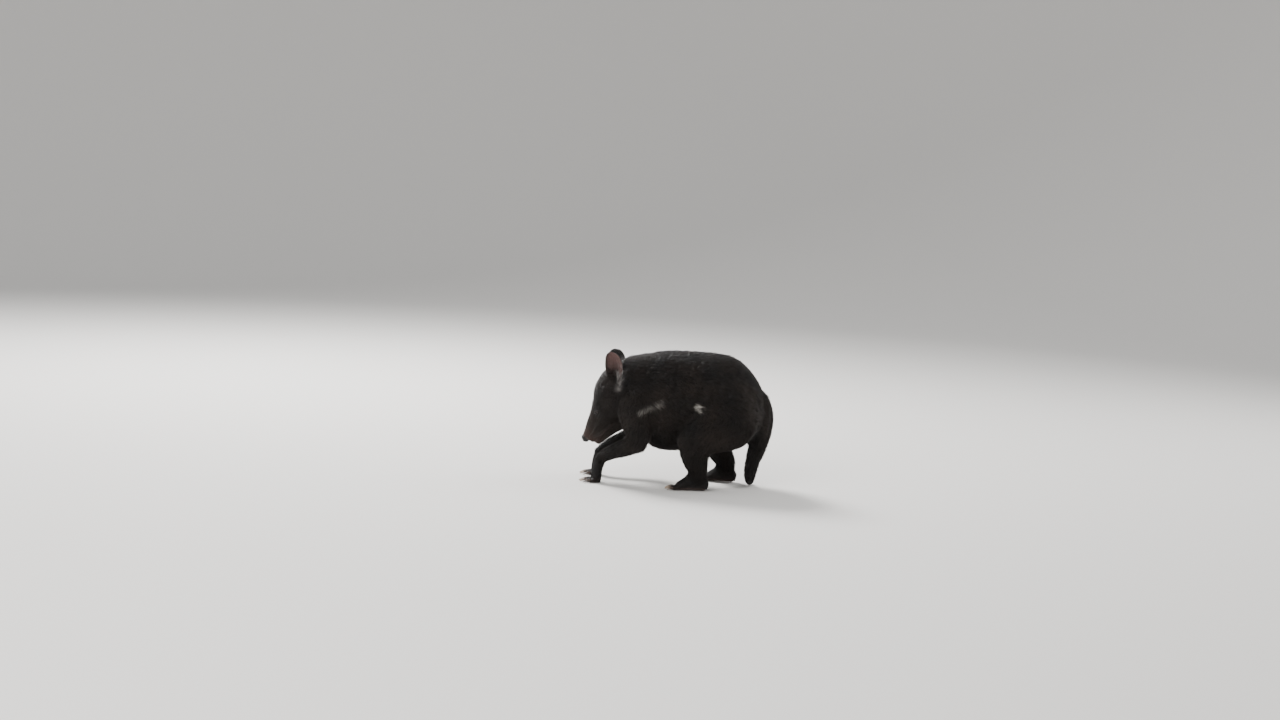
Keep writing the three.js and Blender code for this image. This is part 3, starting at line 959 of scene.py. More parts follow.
class EarFrame:
    """Where a point lies on its ear: how far up, and how far from the middle line to the rim."""

    root = (-131.1, 40.0, 199.0)
    height = 64.0
    half_width = 25.0

    @classmethod
    def places(cls, points: np.ndarray) -> tuple[np.ndarray, np.ndarray]:
        """Places points on the ear of their own side.

        Args:
            points: Points on the body, in metres.

        Returns:
            The share of the ear's height, and the place between its front rim, -1, and its rear rim, 1.
        """
        sign = np.sign(points[:, 1])[:, None]
        root = np.array(cls.root) * np.concatenate([np.ones_like(sign), sign, np.ones_like(sign)], axis=1)
        root[:, 2] -= 3 * sign[:, 0]
        stalk = unit(np.array((0.06, 0.0, 0.97)) + sign * (0, 0.2, 0) - (0, math.sin(HEAD.roll), 0))
        open_way = np.array((-0.56, 0.0, 0.0)) + sign * (0, 0.83, 0)
        open_way = unit(open_way - stalk * (open_way * stalk).sum(axis=1, keepdims=True))
        across = np.cross(stalk, open_way)
        offset = points / MM - root
        high = (offset * stalk).sum(axis=1) / cls.height
        share = np.clip(high, 0, 0.99)
        half = cls.half_width * (0.6 + 0.85 * share) * np.sqrt(1 - share**2.3)
        return high, -sign[:, 0] * (offset * across).sum(axis=1) / half

    @classmethod
    def facing(cls, points: np.ndarray, normals: np.ndarray) -> np.ndarray:
        """How far each point of an ear faces the way that its cup opens, from -1 to 1."""
        sign = np.sign(points[:, 1])[:, None]
        return (normals * unit(np.array((-0.56, 0.0, 0.05)) + sign * (0, 0.83, 0))).sum(axis=1)


@dataclass
class Dress:
    """Colours, bareness and gloss painted on the points of the skin, and where its hair may grow."""

    skin: Skin
    markings: Markings
    hair: np.ndarray = field(init=False)
    cup: np.ndarray = field(init=False)

    def paint(self) -> None:
        """Writes the colour, the bareness and the gloss as attributes of the skin."""
        surface = self.skin.surface
        points, normals = surface.points, surface.normals
        local = HEAD.local(points)
        x, y, z = local[:, 0], np.abs(local[:, 1]), local[:, 2]
        colour = self.markings.fur(points)
        colour = colour * np.where(colour.max(axis=1) > PALE, 0.85, 0.6)[:, None]
        is_region = self.skin.is_region
        facial = is_region[Region.HEAD] | is_region[Region.MUZZLE]
        nose = (1 - ramp(x, 6.4, 8.4)) * (1 - ramp(y, 15, 17)) * ramp(z, -8.5, -6.5) * facial
        line = from_mouth(local)
        lips = (1 - ramp(line, 1.2, 2.9)) * facial * (1 - ramp(x, 60, 68))
        lids = np.max([EyeFrame(side).bare(local) for side in Side], axis=0) * facial
        cup = ramp(EarFrame.facing(points, normals), 0.05, 0.45) * is_region[Region.EAR]
        cup = surface.soften(cup, 2)
        high, wide = EarFrame.places(points)
        low = points[:, 2] / MM
        sole = ramp(-normals[:, 2], 0.35, 0.75) * (1 - ramp(low, 6, 10)) * is_region[Region.FOOT]
        toes = is_region[Region.FOOT] * (1 - ramp(low, 7, 15)) * 0.5
        colour = blend(colour, TONES.nose, nose)
        colour = blend(colour, TONES.lip, lips * 0.9)
        colour = blend(colour, TONES.mouth, (1 - ramp(line, 0.3, 1.1)) * facial * (1 - ramp(x, 58, 64)))
        colour = blend(colour, TONES.nose, lids)
        colour = blend(colour, TONES.ear, cup * (0.85 + 0.15 * ripple(points, 9, 8)))
        # painted shade: the ear's cup darker towards its base and middle, where shade falls in the hollow
        middle = np.abs(wide + 0.1)
        ear_shade_share = (1 - ramp(high, 0.3, 0.95)) * (1 - 0.55 * ramp(middle, 0.35, 0.95))
        colour = blend(colour, TONES.painted_ear_shade, cup * ear_shade_share * 0.92)
        colour = blend(colour, TONES.brown, cup * ramp(np.abs(wide), 0.82, 1.0) * 0.7)
        colour = blend(colour, TONES.pad, np.maximum(sole, toes * 0.5))
        naked = np.max([nose, lips, lids, cup, sole, 0.6 * toes], axis=0)
        gloss = np.max([0.8 * nose * (1 - ramp(y, 8, 12)), 0.3 * lips, 0.25 * lids, 0.2 * cup], axis=0)
        hair = 1 - np.max([nose * 2, (1 - ramp(line, 1.2, 2.8)) * facial, lids], axis=0)
        bald = cup * ramp(high, 0.24, 0.5) * (1 - 0.9 * ramp(np.abs(wide), 0.66, 0.95))
        fringe = ramp(np.abs(wide), 0.6, 0.9) + 1 - ramp(high, 0.25, 0.5)
        hair = hair * (1 - 0.985 * bald) * (1 - sole) * (1 - 0.5 * toes)
        self.hair = np.clip(hair * (0.7 + 0.3 * ramp(x, 8, 26) * facial + 0.3 * ~facial), 0, 1)
        self.cup = cup * (1 - np.clip(fringe, 0, 1))
        mesh = self.skin.piece.data
        write_colour(mesh, "coat_colour", colour)
        for name, values in (("naked", naked), ("gloss", gloss)):
            layer = mesh.attributes.new(name, "FLOAT", "POINT")
            layer.data.foreach_set("value", values)


def write_colour(mesh: bpy.types.Mesh, name: str, colours: np.ndarray) -> None:
    """Writes linear colours to the points of a mesh.

    Args:
        mesh: The mesh.
        name: The attribute's name.
        colours: The colours, one point a row.
    """
    layer = mesh.attributes.new(name, "FLOAT_COLOR", "POINT")
    full = np.concatenate([colours, np.ones((len(colours), 1))], axis=1)
    layer.data.foreach_set("color", full.ravel())


def new_piece(name: str, points: np.ndarray, faces: list[np.ndarray]) -> bpy.types.Object:
    """Makes a smooth-shaded piece from arrays.

    Args:
        name: The piece's name.
        points: The points in metres.
        faces: Arrays of faces, all of one count of corners in each array.

    Returns:
        The piece, at the origin.
    """
    mesh = bpy.data.meshes.new(name)
    mesh.vertices.add(len(points))
    mesh.vertices.foreach_set("co", points.ravel())
    corners = np.concatenate([f.ravel() for f in faces])
    sizes = np.concatenate([np.full(len(f), f.shape[1]) for f in faces])
    mesh.loops.add(len(corners))
    mesh.loops.foreach_set("vertex_index", corners.astype(np.int32))
    mesh.polygons.add(len(sizes))
    starts = np.concatenate([[0], np.cumsum(sizes)[:-1]]).astype(np.int32)
    mesh.polygons.foreach_set("loop_start", starts)
    mesh.polygons.foreach_set("use_smooth", np.ones(len(sizes), bool))
    mesh.update(calc_edges=True)
    return placed(name, mesh)


@dataclass
class Coat:
    """The hair: thin closed tufts that lie along the body, joined in a few pieces.

    A tuft's section is half its width at the root and in the middle, and thick is how far it stands
    out there, all in shares of its own width. Its shades are factors on its colour from the root to
    the tip. The rusty tufts are given by their share and by how brown they are.
    """

    skin: Skin
    dress: Dress
    markings: Markings
    count: int = 138000
    pieces: int = 8
    seed: int = 11
    patch: float = 0.003
    cell: float = 0.004
    sunk: float = 0.35 * MM
    lowest: float = 0.35 * MM
    section: Span = (0.34, 0.5)
    thick: float = 0.42
    shades: tuple[float, ...] = (0.55, 0.55, 0.55, 1.0, 1.0, 1.0, 1.7)
    uneven: float = 0.24
    rusty: Span = (0.12, 0.35)
    palest: float = 0.9
    draw: np.random.Generator = field(init=False)
    tree: BVHTree = field(init=False)
    corners: np.ndarray = field(init=False)
    unwrap: np.ndarray = field(init=False)
    root: np.ndarray = field(init=False)
    normal: np.ndarray = field(init=False)
    lie: np.ndarray = field(init=False)
    own: np.ndarray = field(init=False)
    cup: np.ndarray = field(init=False)
    uv: np.ndarray = field(init=False)
    block: np.ndarray = field(init=False)
    start: np.ndarray = field(init=False)
    middle: np.ndarray = field(init=False)
    middle_normal: np.ndarray = field(init=False)
    tip: np.ndarray = field(init=False)

    def build(self) -> list[bpy.types.Object]:
        """Grows the whole coat.

        Returns:
            The pieces of the coat.
        """
        self.draw = np.random.default_rng(self.seed)
        self.read_skin()
        self.scatter()
        self.comb()
        made = []
        order = np.argsort(self.block, kind="stable")
        for number, chosen in enumerate(np.array_split(order, self.pieces), 1):
            made.append(self.weave(f"coat_{number}", chosen))
        return made

    def read_skin(self) -> None:
        """Reads the skin's triangles, its unwrap and its search tree."""
        mesh = self.skin.piece.data
        self.corners = read_rows(mesh.polygons, "vertices", 3, np.int64)
        self.unwrap = read_rows(mesh.uv_layers["OFBake"].data, "uv", 2).reshape(-1, 3, 2)
        self.tree = BVHTree.FromPolygons(self.skin.surface.points.tolist(), self.corners.tolist())

    def scatter(self) -> None:
        """Spreads the roots evenly over the skin, denser where the hair is finer."""
        surface = self.skin.surface
        triangle = surface.points[self.corners]
        crossed = np.cross(triangle[:, 1] - triangle[:, 0], triangle[:, 2] - triangle[:, 0])
        area = np.linalg.norm(crossed, axis=1) / 2
        share = self.skin.coat[:, 3] * self.dress.hair
        weight = area * share[self.corners].mean(axis=1)
        cell = (triangle.mean(axis=1) - surface.points.min(axis=0)) / self.cell
        code = np.zeros(len(cell), np.int64)
        for bit in range(7):
            for axis in range(3):
                code |= ((cell[:, axis].astype(np.int64) >> bit) & 1) << (3 * bit + axis)
        path = np.argsort(code, kind="stable")
        total = np.cumsum(weight[path])
        steps = (np.arange(self.count) + self.draw.random(self.count)) / self.count * total[-1]
        chosen = path[np.minimum(np.searchsorted(total, steps), len(path) - 1)]
        mix = self.draw.random((self.count, 2))
        over = mix.sum(axis=1) > 1
        mix[over] = 1 - mix[over]
        mix = np.concatenate([1 - mix.sum(axis=1, keepdims=True), mix], axis=1)[:, :, None]
        ids = self.corners[chosen]
        self.root = (surface.points[ids] * mix).sum(axis=1)
        self.normal = unit((surface.normals[ids] * mix).sum(axis=1))
        self.lie = (self.skin.lie[ids] * mix).sum(axis=1)
        self.own = (self.skin.coat[ids] * mix).sum(axis=1)
        self.cup = (self.dress.cup[ids][:, :, None] * mix).sum(axis=1)[:, 0]
        self.uv = (self.unwrap[chosen] * mix).sum(axis=1)
        self.block = code[chosen] >> 9

    def over_skin(self, points: np.ndarray, height: np.ndarray) -> tuple[np.ndarray, np.ndarray]:
        """Puts points at a height over the nearest skin.

        Args:
            points: The points, in metres.
            height: A height for each, in metres.

        Returns:
            The moved points and the normals of the skin below them.
        """
        found = [self.tree.find_nearest(p) for p in points.tolist()]
        base = np.array([f[0] for f in found])
        normal = np.array([f[1] for f in found])
        return base + normal * height[:, None], normal

    def comb(self) -> None:
        """Bends every tuft along the body, each a little its own way, in locks."""
        draw, count = self.draw, self.count
        depth = np.maximum(self.own[:, 0], 0.55) * MM
        reach = self.own[:, 1] * MM * (0.72 + 0.5 * draw.random(count))
        reach *= 1 + 0.14 * ripple(self.root, 22, 31)
        turn = 0.2 * ripple(self.root, 26, 21) + 0.14 * ripple(self.root, 9, 22)
        turn += 0.11 * draw.normal(size=count)
        way = along_surface(self.lie, self.normal)
        side = np.cross(self.normal, way)
        way = way * np.cos(turn)[:, None] + side * np.sin(turn)[:, None]
        rise = draw.random(count) ** 0.75
        lock = 1 + 0.16 * ripple(self.root, 12, 41)
        middle_height = depth * (0.26 + 0.42 * rise) * lock
        tip_height = depth * (0.30 + 0.78 * rise) * lock
        first = self.root + way * (reach * 0.46)[:, None]
        self.middle, self.middle_normal = self.over_skin(first, middle_height)
        onward = along_surface(way, self.middle_normal)
        second = self.middle + onward * (reach * 0.54)[:, None]
        self.tip, _ = self.over_skin(second, tip_height)
        self.start = self.root - self.normal * self.sunk
        for points in (self.start, self.middle, self.tip):
            points[:, 2] = np.maximum(points[:, 2], self.lowest)

    def weave(self, name: str, chosen: np.ndarray) -> bpy.types.Object:
        """Makes one piece of the coat.

        Args:
            name: The piece's name.
            chosen: The numbers of its tufts.

        Returns:
            The piece.
        """
        count = len(chosen)
        width = self.own[chosen, 2:3] * MM * (0.75 + 0.5 * self.draw.random((count, 1)))
        way = unit(self.middle[chosen] - self.start[chosen])
        side = unit(np.cross(self.normal[chosen], way))
        onward = unit(self.tip[chosen] - self.start[chosen])
        middle_side = unit(np.cross(self.middle_normal[chosen], onward))
        rings = []
        for centre, out, across, size in (
            (self.start, self.normal, side, self.section[0]),
            (self.middle, self.middle_normal, middle_side, self.section[1]),
        ):
            spot = centre[chosen]
            rings += [spot - across * width * size, spot + across * width * size]
            rings.append(spot + out[chosen] * width * self.thick)
        points = np.stack([*rings, self.tip[chosen]], axis=1).reshape(-1, 3)
        base = np.arange(count)[:, None] * 7
        four = np.array(((0, 1, 4, 3), (1, 2, 5, 4), (2, 0, 3, 5)))
        three = np.array(((0, 2, 1), (3, 4, 6), (4, 5, 6), (5, 3, 6)))
        faces = [(base[:, None] + four[None]).reshape(-1, 4), (base[:, None] + three[None]).reshape(-1, 3)]
        piece = new_piece(name, points, faces)
        self.colour(piece.data, chosen)
        place = np.array(((0, 0), (1, 0), (0.5, 0.1), (0, 0.5), (1, 0.5), (0.5, 0.6), (0.5, 1)))
        patch = self.uv[chosen][:, None] + (place[None] - 0.5) * self.patch
        corners = np.concatenate([f.ravel() for f in faces])
        layer = piece.data.uv_layers.new(name="OFBake")
        layer.data.foreach_set("uv", np.clip(patch.reshape(-1, 2)[corners], 0, 1).ravel())
        return piece

    def colour(self, mesh: bpy.types.Mesh, chosen: np.ndarray) -> None:
        """Colours the tufts: darker at the root, lighter at the tip, each a little its own.

        Args:
            mesh: The mesh of one piece.
            chosen: The numbers of its tufts.
        """
        tone = self.markings.fur(self.root[chosen])
        tone = blend(tone, TONES.ear, 0.75 * self.cup[chosen])
        own = np.exp(self.uneven * self.draw.normal(size=(len(chosen), 1)))
        rust = (self.draw.random(len(chosen)) < self.rusty[0]) * self.rusty[1]
        tone = blend(tone * own, TONES.brown, rust * (tone.max(axis=1) < 0.1))
        steps = np.array(self.shades)
        pale = (tone.max(axis=1, keepdims=True) > PALE)[:, :, None]
        steps = np.where(pale, (0.6 + 0.4 * steps / steps[-1])[None, :, None], steps[None, :, None])
        write_colour(mesh, "coat_colour", np.clip(tone[:, None] * steps, 0, self.palest).reshape(-1, 3))


@dataclass
class Whiskers:
    """Long bristles on lips, brows and cheeks, each a thin rod of four sides.

    Those of brow and cheek are given by their place along the head, their height, their length and
    half their width at the root, all in millimetres.
    """

    tree: BVHTree
    steps: int = 9
    seed: int = 5
    brow: Line = ((60, 27, 26, 0.2), (64, 29, 30, 0.2), (55, 26, 20, 0.18))
    cheek: Line = ((84, -6, 36, 0.22), (89, -9, 40, 0.22), (80, -11, 30, 0.2), (94, -4, 30, 0.2))
    lip_thick: float = 0.26
    droop: float = 0.1
    taper: float = 0.82
    draw: np.random.Generator = field(init=False)

    @staticmethod
    def roots() -> list[tuple[float, float]]:
        """The whiskers' roots on the lip.

        Returns:
            Their x and z in the head's frame, in millimetres.
        """
        return [
            (13.5 + 5.2 * i + 1.3 * row, 1.2 - 3.6 * row + 0.25 * i)
            for row in range(3)
            for i in range(5 - row)
        ]

    def path(self, x: float, z: float, length: float, side: Side) -> np.ndarray | None:
        """Bends one whisker out of the skin and back along the head.

        Args:
            x: Its root's place along the head, in millimetres.
            z: Its root's height in the head's frame, in millimetres.
            length: Its length, in millimetres.
            side: The side of the head.

        Returns:
            The points along it, or none where it meets no skin.
        """
        inward = Vector(HEAD.direction(0, -side.value, 0))
        hit, normal, _, _ = self.tree.ray_cast(HEAD.world(x, 70 * side.value, z), inward)
        if hit is None:
            return None
        out = np.array(normal)
        back = HEAD.direction(1, 0, -0.1 - 0.02 * (z - 5))
        bend = unit(out * 0.62 + back * (0.35 + 0.012 * x) + 0.09 * self.draw.normal(size=3))
        length *= MM * self.draw.uniform(0.85, 1.15)
        t = np.linspace(0, 1, self.steps)[:, None]
        way = bend * (1 - 0.25 * t) + unit(back) * 0.55 * t
        sag = np.array((0, 0, self.droop)) * length * t * t
        return np.array(hit) - out * 0.6 * MM + way * length * t - sag

    def rod(self, path: np.ndarray, thick: float) -> np.ndarray:
        """The corners round a whisker, four at each step, closer together towards its tip.

        Args:
            path: The points along it.
            thick: Half its width at the root, in millimetres.

        Returns:
            The corners, one a row.
        """
        onward = np.concatenate([path[1:], path[-1:]])
        before = np.concatenate([path[:1], path[:-1]])
        way = unit(onward - before)
        one = unit(np.cross(way, (0.2, 0.1, 1.0)))
        two = np.cross(way, one)
        radius = thick * MM * (1 - self.taper * np.linspace(0, 1, self.steps)[:, None])
        corners = [path + radius * turn for turn in (one, two, -one, -two)]
        return np.stack(corners, axis=1).reshape(-1, 3)

    def build(self) -> bpy.types.Object:
        """Makes the whiskers.

        Returns:
            One piece with all whiskers.
        """
        self.draw = np.random.default_rng(self.seed)
        lip = [(x, z, 34 + 1.1 * x, self.lip_thick) for x, z in self.roots()]
        rods = []
        for side in Side:
            for x, z, length, thick in (*lip, *self.brow, *self.cheek):
                path = self.path(x, z, length, side)
                if path is not None:
                    rods.append(self.rod(path, thick))
        last = 4 * (self.steps - 1)
        faces = []
        for step in range(0, last, 4):
            for k in range(4):
                a, b = step + k, step + (k + 1) % 4
                faces.append((a, b, b + 4, a + 4))
        faces += [(3, 2, 1, 0), (last, last + 1, last + 2, last + 3)]
        first = np.arange(len(rods))[:, None, None] * (last + 4)
        log.info("whiskers: %d", len(rods))
        piece = new_piece("whiskers", np.concatenate(rods), [(first + np.array(faces)).reshape(-1, 4)])
        write_colour(piece.data, "bristle_colour", np.tile(TONES.bristle, (len(piece.data.vertices), 1)))
        return piece


@dataclass
class Eye:
    """The ball of one eye, with a raised clear front over a dark brown iris."""

    side: Side
    iris: float = 4.1 * MM
    pupil: float = 1.9 * MM
    bulge: float = 0.45 * MM
    bulge_reach: float = 3.4 * MM

    def build(self) -> bpy.types.Object:
        """Makes the eye.

        Returns:
            The piece of the eye.
        """
        frame_of_eye = EyeFrame(self.side)
        bpy.ops.object.select_all(action="DESELECT")
        bpy.ops.mesh.primitive_uv_sphere_add(segments=56, ring_count=40, radius=frame_of_eye.radius * MM)
        piece = bpy.context.object
        piece.name = f"eye_ball_{self.side.name.lower()}"
        points = read_rows(piece.data.vertices, "co", 3)
        aside = np.hypot(points[:, 0], points[:, 1])
        front = points[:, 2] > 0
        points[:, 2] += front * self.bulge * bell(aside, self.bulge_reach)
        piece.data.vertices.foreach_set("co", points.ravel())
        self.colour(piece.data, np.where(front, aside, 1), np.arctan2(points[:, 1], points[:, 0]))
        look = Vector(HEAD.direction(*frame_of_eye.axes()[0]))
        low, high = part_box(f"eye_{self.side.name.lower()}")
        place = Matrix.Translation((low + high) / 2) @ look.to_track_quat("Z", "Y").to_matrix().to_4x4()
        piece.data.transform(place)
        shade_smooth(piece)
        return piece

    def colour(self, mesh: bpy.types.Mesh, aside: np.ndarray, angle: np.ndarray) -> None:
        """Colours the ball with a rayed iris round the pupil.

        Args:
            mesh: The mesh of the ball.
            aside: The distance of each point from the line of sight, in metres.
            angle: The angle of each point round the line of sight.
        """
        rays = 1 + 0.25 * np.sin(angle * 23) * np.sin(angle * 9 + 1)
        rayed = np.array(TONES.iris) * rays[:, None]
        colour = np.tile(TONES.ball, (len(aside), 1))
        colour = blend(colour, rayed, 1 - ramp(aside, self.iris - 0.4 * MM, self.iris))
        colour = blend(colour, TONES.pupil, 1 - ramp(aside, self.pupil - 0.3 * MM, self.pupil + 0.2 * MM))
        colour = blend(colour, TONES.iris_edge, bell(aside - self.iris, 0.5 * MM))
        write_colour(mesh, "eye_colour", colour)


@dataclass
class Claws:
    """The claws of one foot, rounded from their solids."""

    foot: str
    quick_end: float = 3 * MM
    horn_start: float = 14 * MM

    def names(self) -> list[str]:
        """The solids of the foot's claws."""
        return sorted(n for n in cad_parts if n.startswith(self.foot + "_claw"))

    def build(self) -> bpy.types.Object:
        """Makes the claws of the foot.

        Returns:
            One piece with all claws of the foot.
        """
        piece = piece_from(self.foot + "_claws", copied_solids(self.names()))
        apply_modifier(piece, "SUBSURF", levels=2, render_levels=2)
        shade_smooth(piece)
        along = read_rows(piece.data.vertices, "co", 3)[:, 0]
        share = 1 - ramp(along - along.min(), self.quick_end, self.horn_start)
        colour = blend(np.tile(TONES.quick, (len(along), 1)), TONES.horn, share)
        write_colour(piece.data, "horn_colour", colour)
        return piece


@dataclass
class Bench:
    """The nodes of a material or a group, with short ways to add them and to join them."""

    tree: bpy.types.NodeTree

    def add(self, kind: str, sockets: dict[str, float] | None = None, **settings: object) -> bpy.types.Node:
        """Adds a node.

        Args:
            kind: Its type, without the word for shader nodes before it.
            sockets: Values of its inputs.
            settings: Values of its own settings.

        Returns:
            The node.
        """
        node = self.tree.nodes.new("ShaderNode" + kind)
        for name, value in settings.items():
            setattr(node, name, value)
        for name, value in (sockets or {}).items():
            node.inputs[name].default_value = value
        return node

    def join(self, source: bpy.types.Node, out: str, sink: bpy.types.Node, into: str) -> None:
        """Joins an output of one node to an input of another."""
        self.tree.links.new(source.outputs[out], sink.inputs[into])

    def grain(self, scale: float, pebbles: float, tone: Span) -> bpy.types.Node:
        """Adds the shared grain, laid out in the piece's own space.

        Args:
            scale: How fine the grain is.
            pebbles: How far its height is made of round pebbles.
            tone: The lowest and the highest factor on a colour.

        Returns:
            The node.
        """
        values = {"Scale": scale, "Pebbles": pebbles, "Low": tone[0], "High": tone[1]}
        grain = self.add("Group", values, node_tree=grain_group())
        self.join(self.add("TexCoord"), "Object", grain, "Vector")
        return grain

    def tint(self, shader: bpy.types.Node, attribute: str, grain: bpy.types.Node) -> None:
        """Colours the shader by an attribute that the grain breaks up.

        Args:
            shader: The shader.
            attribute: The attribute's name.
            grain: The node of the grain.
        """
        tone = self.add("Attribute", attribute_name=attribute)
        shade = self.add("VectorMath", operation="SCALE")
        self.join(tone, "Color", shade, "Vector")
        self.join(grain, "Tone", shade, "Scale")
        self.join(shade, "Vector", shader, "Base Color")

    def roughen(self, shader: bpy.types.Node, source: bpy.types.Node, out: str, rough: Span) -> None:
        """Lets an output set the roughness between two values.

        Args:
            shader: The shader.
            source: The node that the output belongs to.
            out: The output's name.
            rough: The roughness where the output is 0 and where it is 1.
        """
        reach = self.add("MapRange", {"To Min": rough[0], "To Max": rough[1]})
        self.join(source, out, reach, "Value")
        self.join(reach, "Result", shader, "Roughness")

    def bump(self, shader: bpy.types.Node, source: bpy.types.Node, out: str, size: Span) -> None:
        """Lets an output raise the surface.

        Args:
            shader: The shader.
            source: The node that the output belongs to.
            out: The output's name.
            size: The strength, and the depth in metres.
        """
        bump = self.add("Bump", {"Strength": size[0], "Distance": size[1]})
        self.join(source, out, bump, "Height")
        self.join(bump, "Normal", shader, "Normal")


def grain_group() -> bpy.types.NodeTree:
    """The group of nodes that puts out fine uneven grain and a height for a bump, made on first use.

    Returns:
        The group.
    """
    name = "fine_grain"
    if name in bpy.data.node_groups:
        return bpy.data.node_groups[name]
    tree = bpy.data.node_groups.new(name, "ShaderNodeTree")
    tree.interface.new_socket("Vector", in_out="INPUT", socket_type="NodeSocketVector")
    for label, value in (("Scale", 400.0), ("Pebbles", 0.0), ("Low", 0.8), ("High", 1.2)):
        socket = tree.interface.new_socket(label, in_out="INPUT", socket_type="NodeSocketFloat")
        socket.default_value = value
    for label in ("Tone", "Height"):
        tree.interface.new_socket(label, in_out="OUTPUT", socket_type="NodeSocketFloat")
    source = tree.nodes.new("NodeGroupInput")
    sink = tree.nodes.new("NodeGroupOutput")
    bench = Bench(tree)
    noise = bench.add("TexNoise", {"Detail": 5, "Roughness": 0.62})
    cells = bench.add("TexVoronoi")
    reach = bench.add("MapRange", {"From Min": 0.3, "From Max": 0.7})
    mix = bench.add("Mix")
    for node in (noise, cells):
        bench.join(source, "Vector", node, "Vector")
        bench.join(source, "Scale", node, "Scale")
    bench.join(noise, "Fac", reach, "Value")
    bench.join(source, "Low", reach, "To Min")
    bench.join(source, "High", reach, "To Max")
    bench.join(source, "Pebbles", mix, "Factor")
    bench.join(noise, "Fac", mix, "A")
    bench.join(cells, "Distance", mix, "B")
    bench.join(reach, "Result", sink, "Tone")
    bench.join(mix, "Result", sink, "Height")
    return tree


def new_material(name: str, **sockets: object) -> tuple[bpy.types.Material, Bench, bpy.types.Node]:
    """Makes a material.

    Args:
        name: Its name.
        sockets: Values of its shader's inputs, with low lines for the spaces in their names.

    Returns:
        The material, its nodes and its shader.
    """
    material = bpy.data.materials.new(name)
    material.use_nodes = True
    shader = material.node_tree.nodes["Principled BSDF"]
    for socket, value in sockets.items():
        shader.inputs[socket.replace("_", " ")].default_value = value
    return material, Bench(material.node_tree), shader


@dataclass(frozen=True)
class Finish:
    """A finish that takes its colour from an attribute and breaks it up with grain."""

    name: str
    colour: str
    scale: float
    rough: Span
    tone: Span = (0.8, 1.2)
    bump: Span | None = None
    coat: float = 0.0
    ior: float = 1.5

    def material(self) -> bpy.types.Material:
        """Makes the material.

        Returns:
            The finished material.
        """
        material, bench, shader = new_material(
            self.name, Coat_Weight=self.coat, Coat_Roughness=0.04, IOR=self.ior
        )
        grain = bench.grain(self.scale, 0.0, self.tone)
        bench.tint(shader, self.colour, grain)
        bench.roughen(shader, grain, "Height", self.rough)
        if self.bump:
            bench.bump(shader, grain, "Height", self.bump)
        return material


@dataclass(frozen=True)
class HideFinish:
    """The skin: short flat hair where it is furred, pebbled and a little wet where it is bare."""

    name: str = "hide"
    hair_scale: float = 1500
    pebble_scale: float = 2300
    pebbles: float = 0.85
    tone: Span = (0.72, 1.3)
    rough: Span = (0.66, 0.3)
    bump: Span = (0.7, 0.0003)
    ior: float = 1.36

    def material(self) -> bpy.types.Material:
        """Makes the material.

        Returns:
            The finished material.
        """
        material, bench, shader = new_material(self.name, IOR=self.ior)
        furred = bench.grain(self.hair_scale, 0.0, self.tone)
        bare = bench.grain(self.pebble_scale, self.pebbles, self.tone)
        height = bench.add("Mix")
        bench.join(bench.add("Attribute", attribute_name="naked"), "Fac", height, "Factor")
        bench.join(furred, "Height", height, "A")
        bench.join(bare, "Height", height, "B")
        bench.tint(shader, "coat_colour", bare)
        bench.roughen(shader, bench.add("Attribute", attribute_name="gloss"), "Fac", self.rough)
        bench.bump(shader, height, "Result", self.bump)
        return material


FUR = Finish("fur", "coat_colour", 500, (0.34, 0.56), ior=1.38)
HORN = Finish("horn", "horn_colour", 900, (0.25, 0.5), tone=(0.75, 1.25), bump=(0.3, 0.0002))
WET_EYE = Finish("wet_eye", "eye_colour", 1200, (0.03, 0.06), coat=0.1, ior=1.25)
BRISTLE = Finish("bristle", "bristle_colour", 700, (0.3, 0.5))


@dataclass(frozen=True)
class Lamp:
    """A square area light: its place in metres, its side in metres and its power in watts."""

    name: str
    place: tuple[float, float, float]
    size: float
    power: float


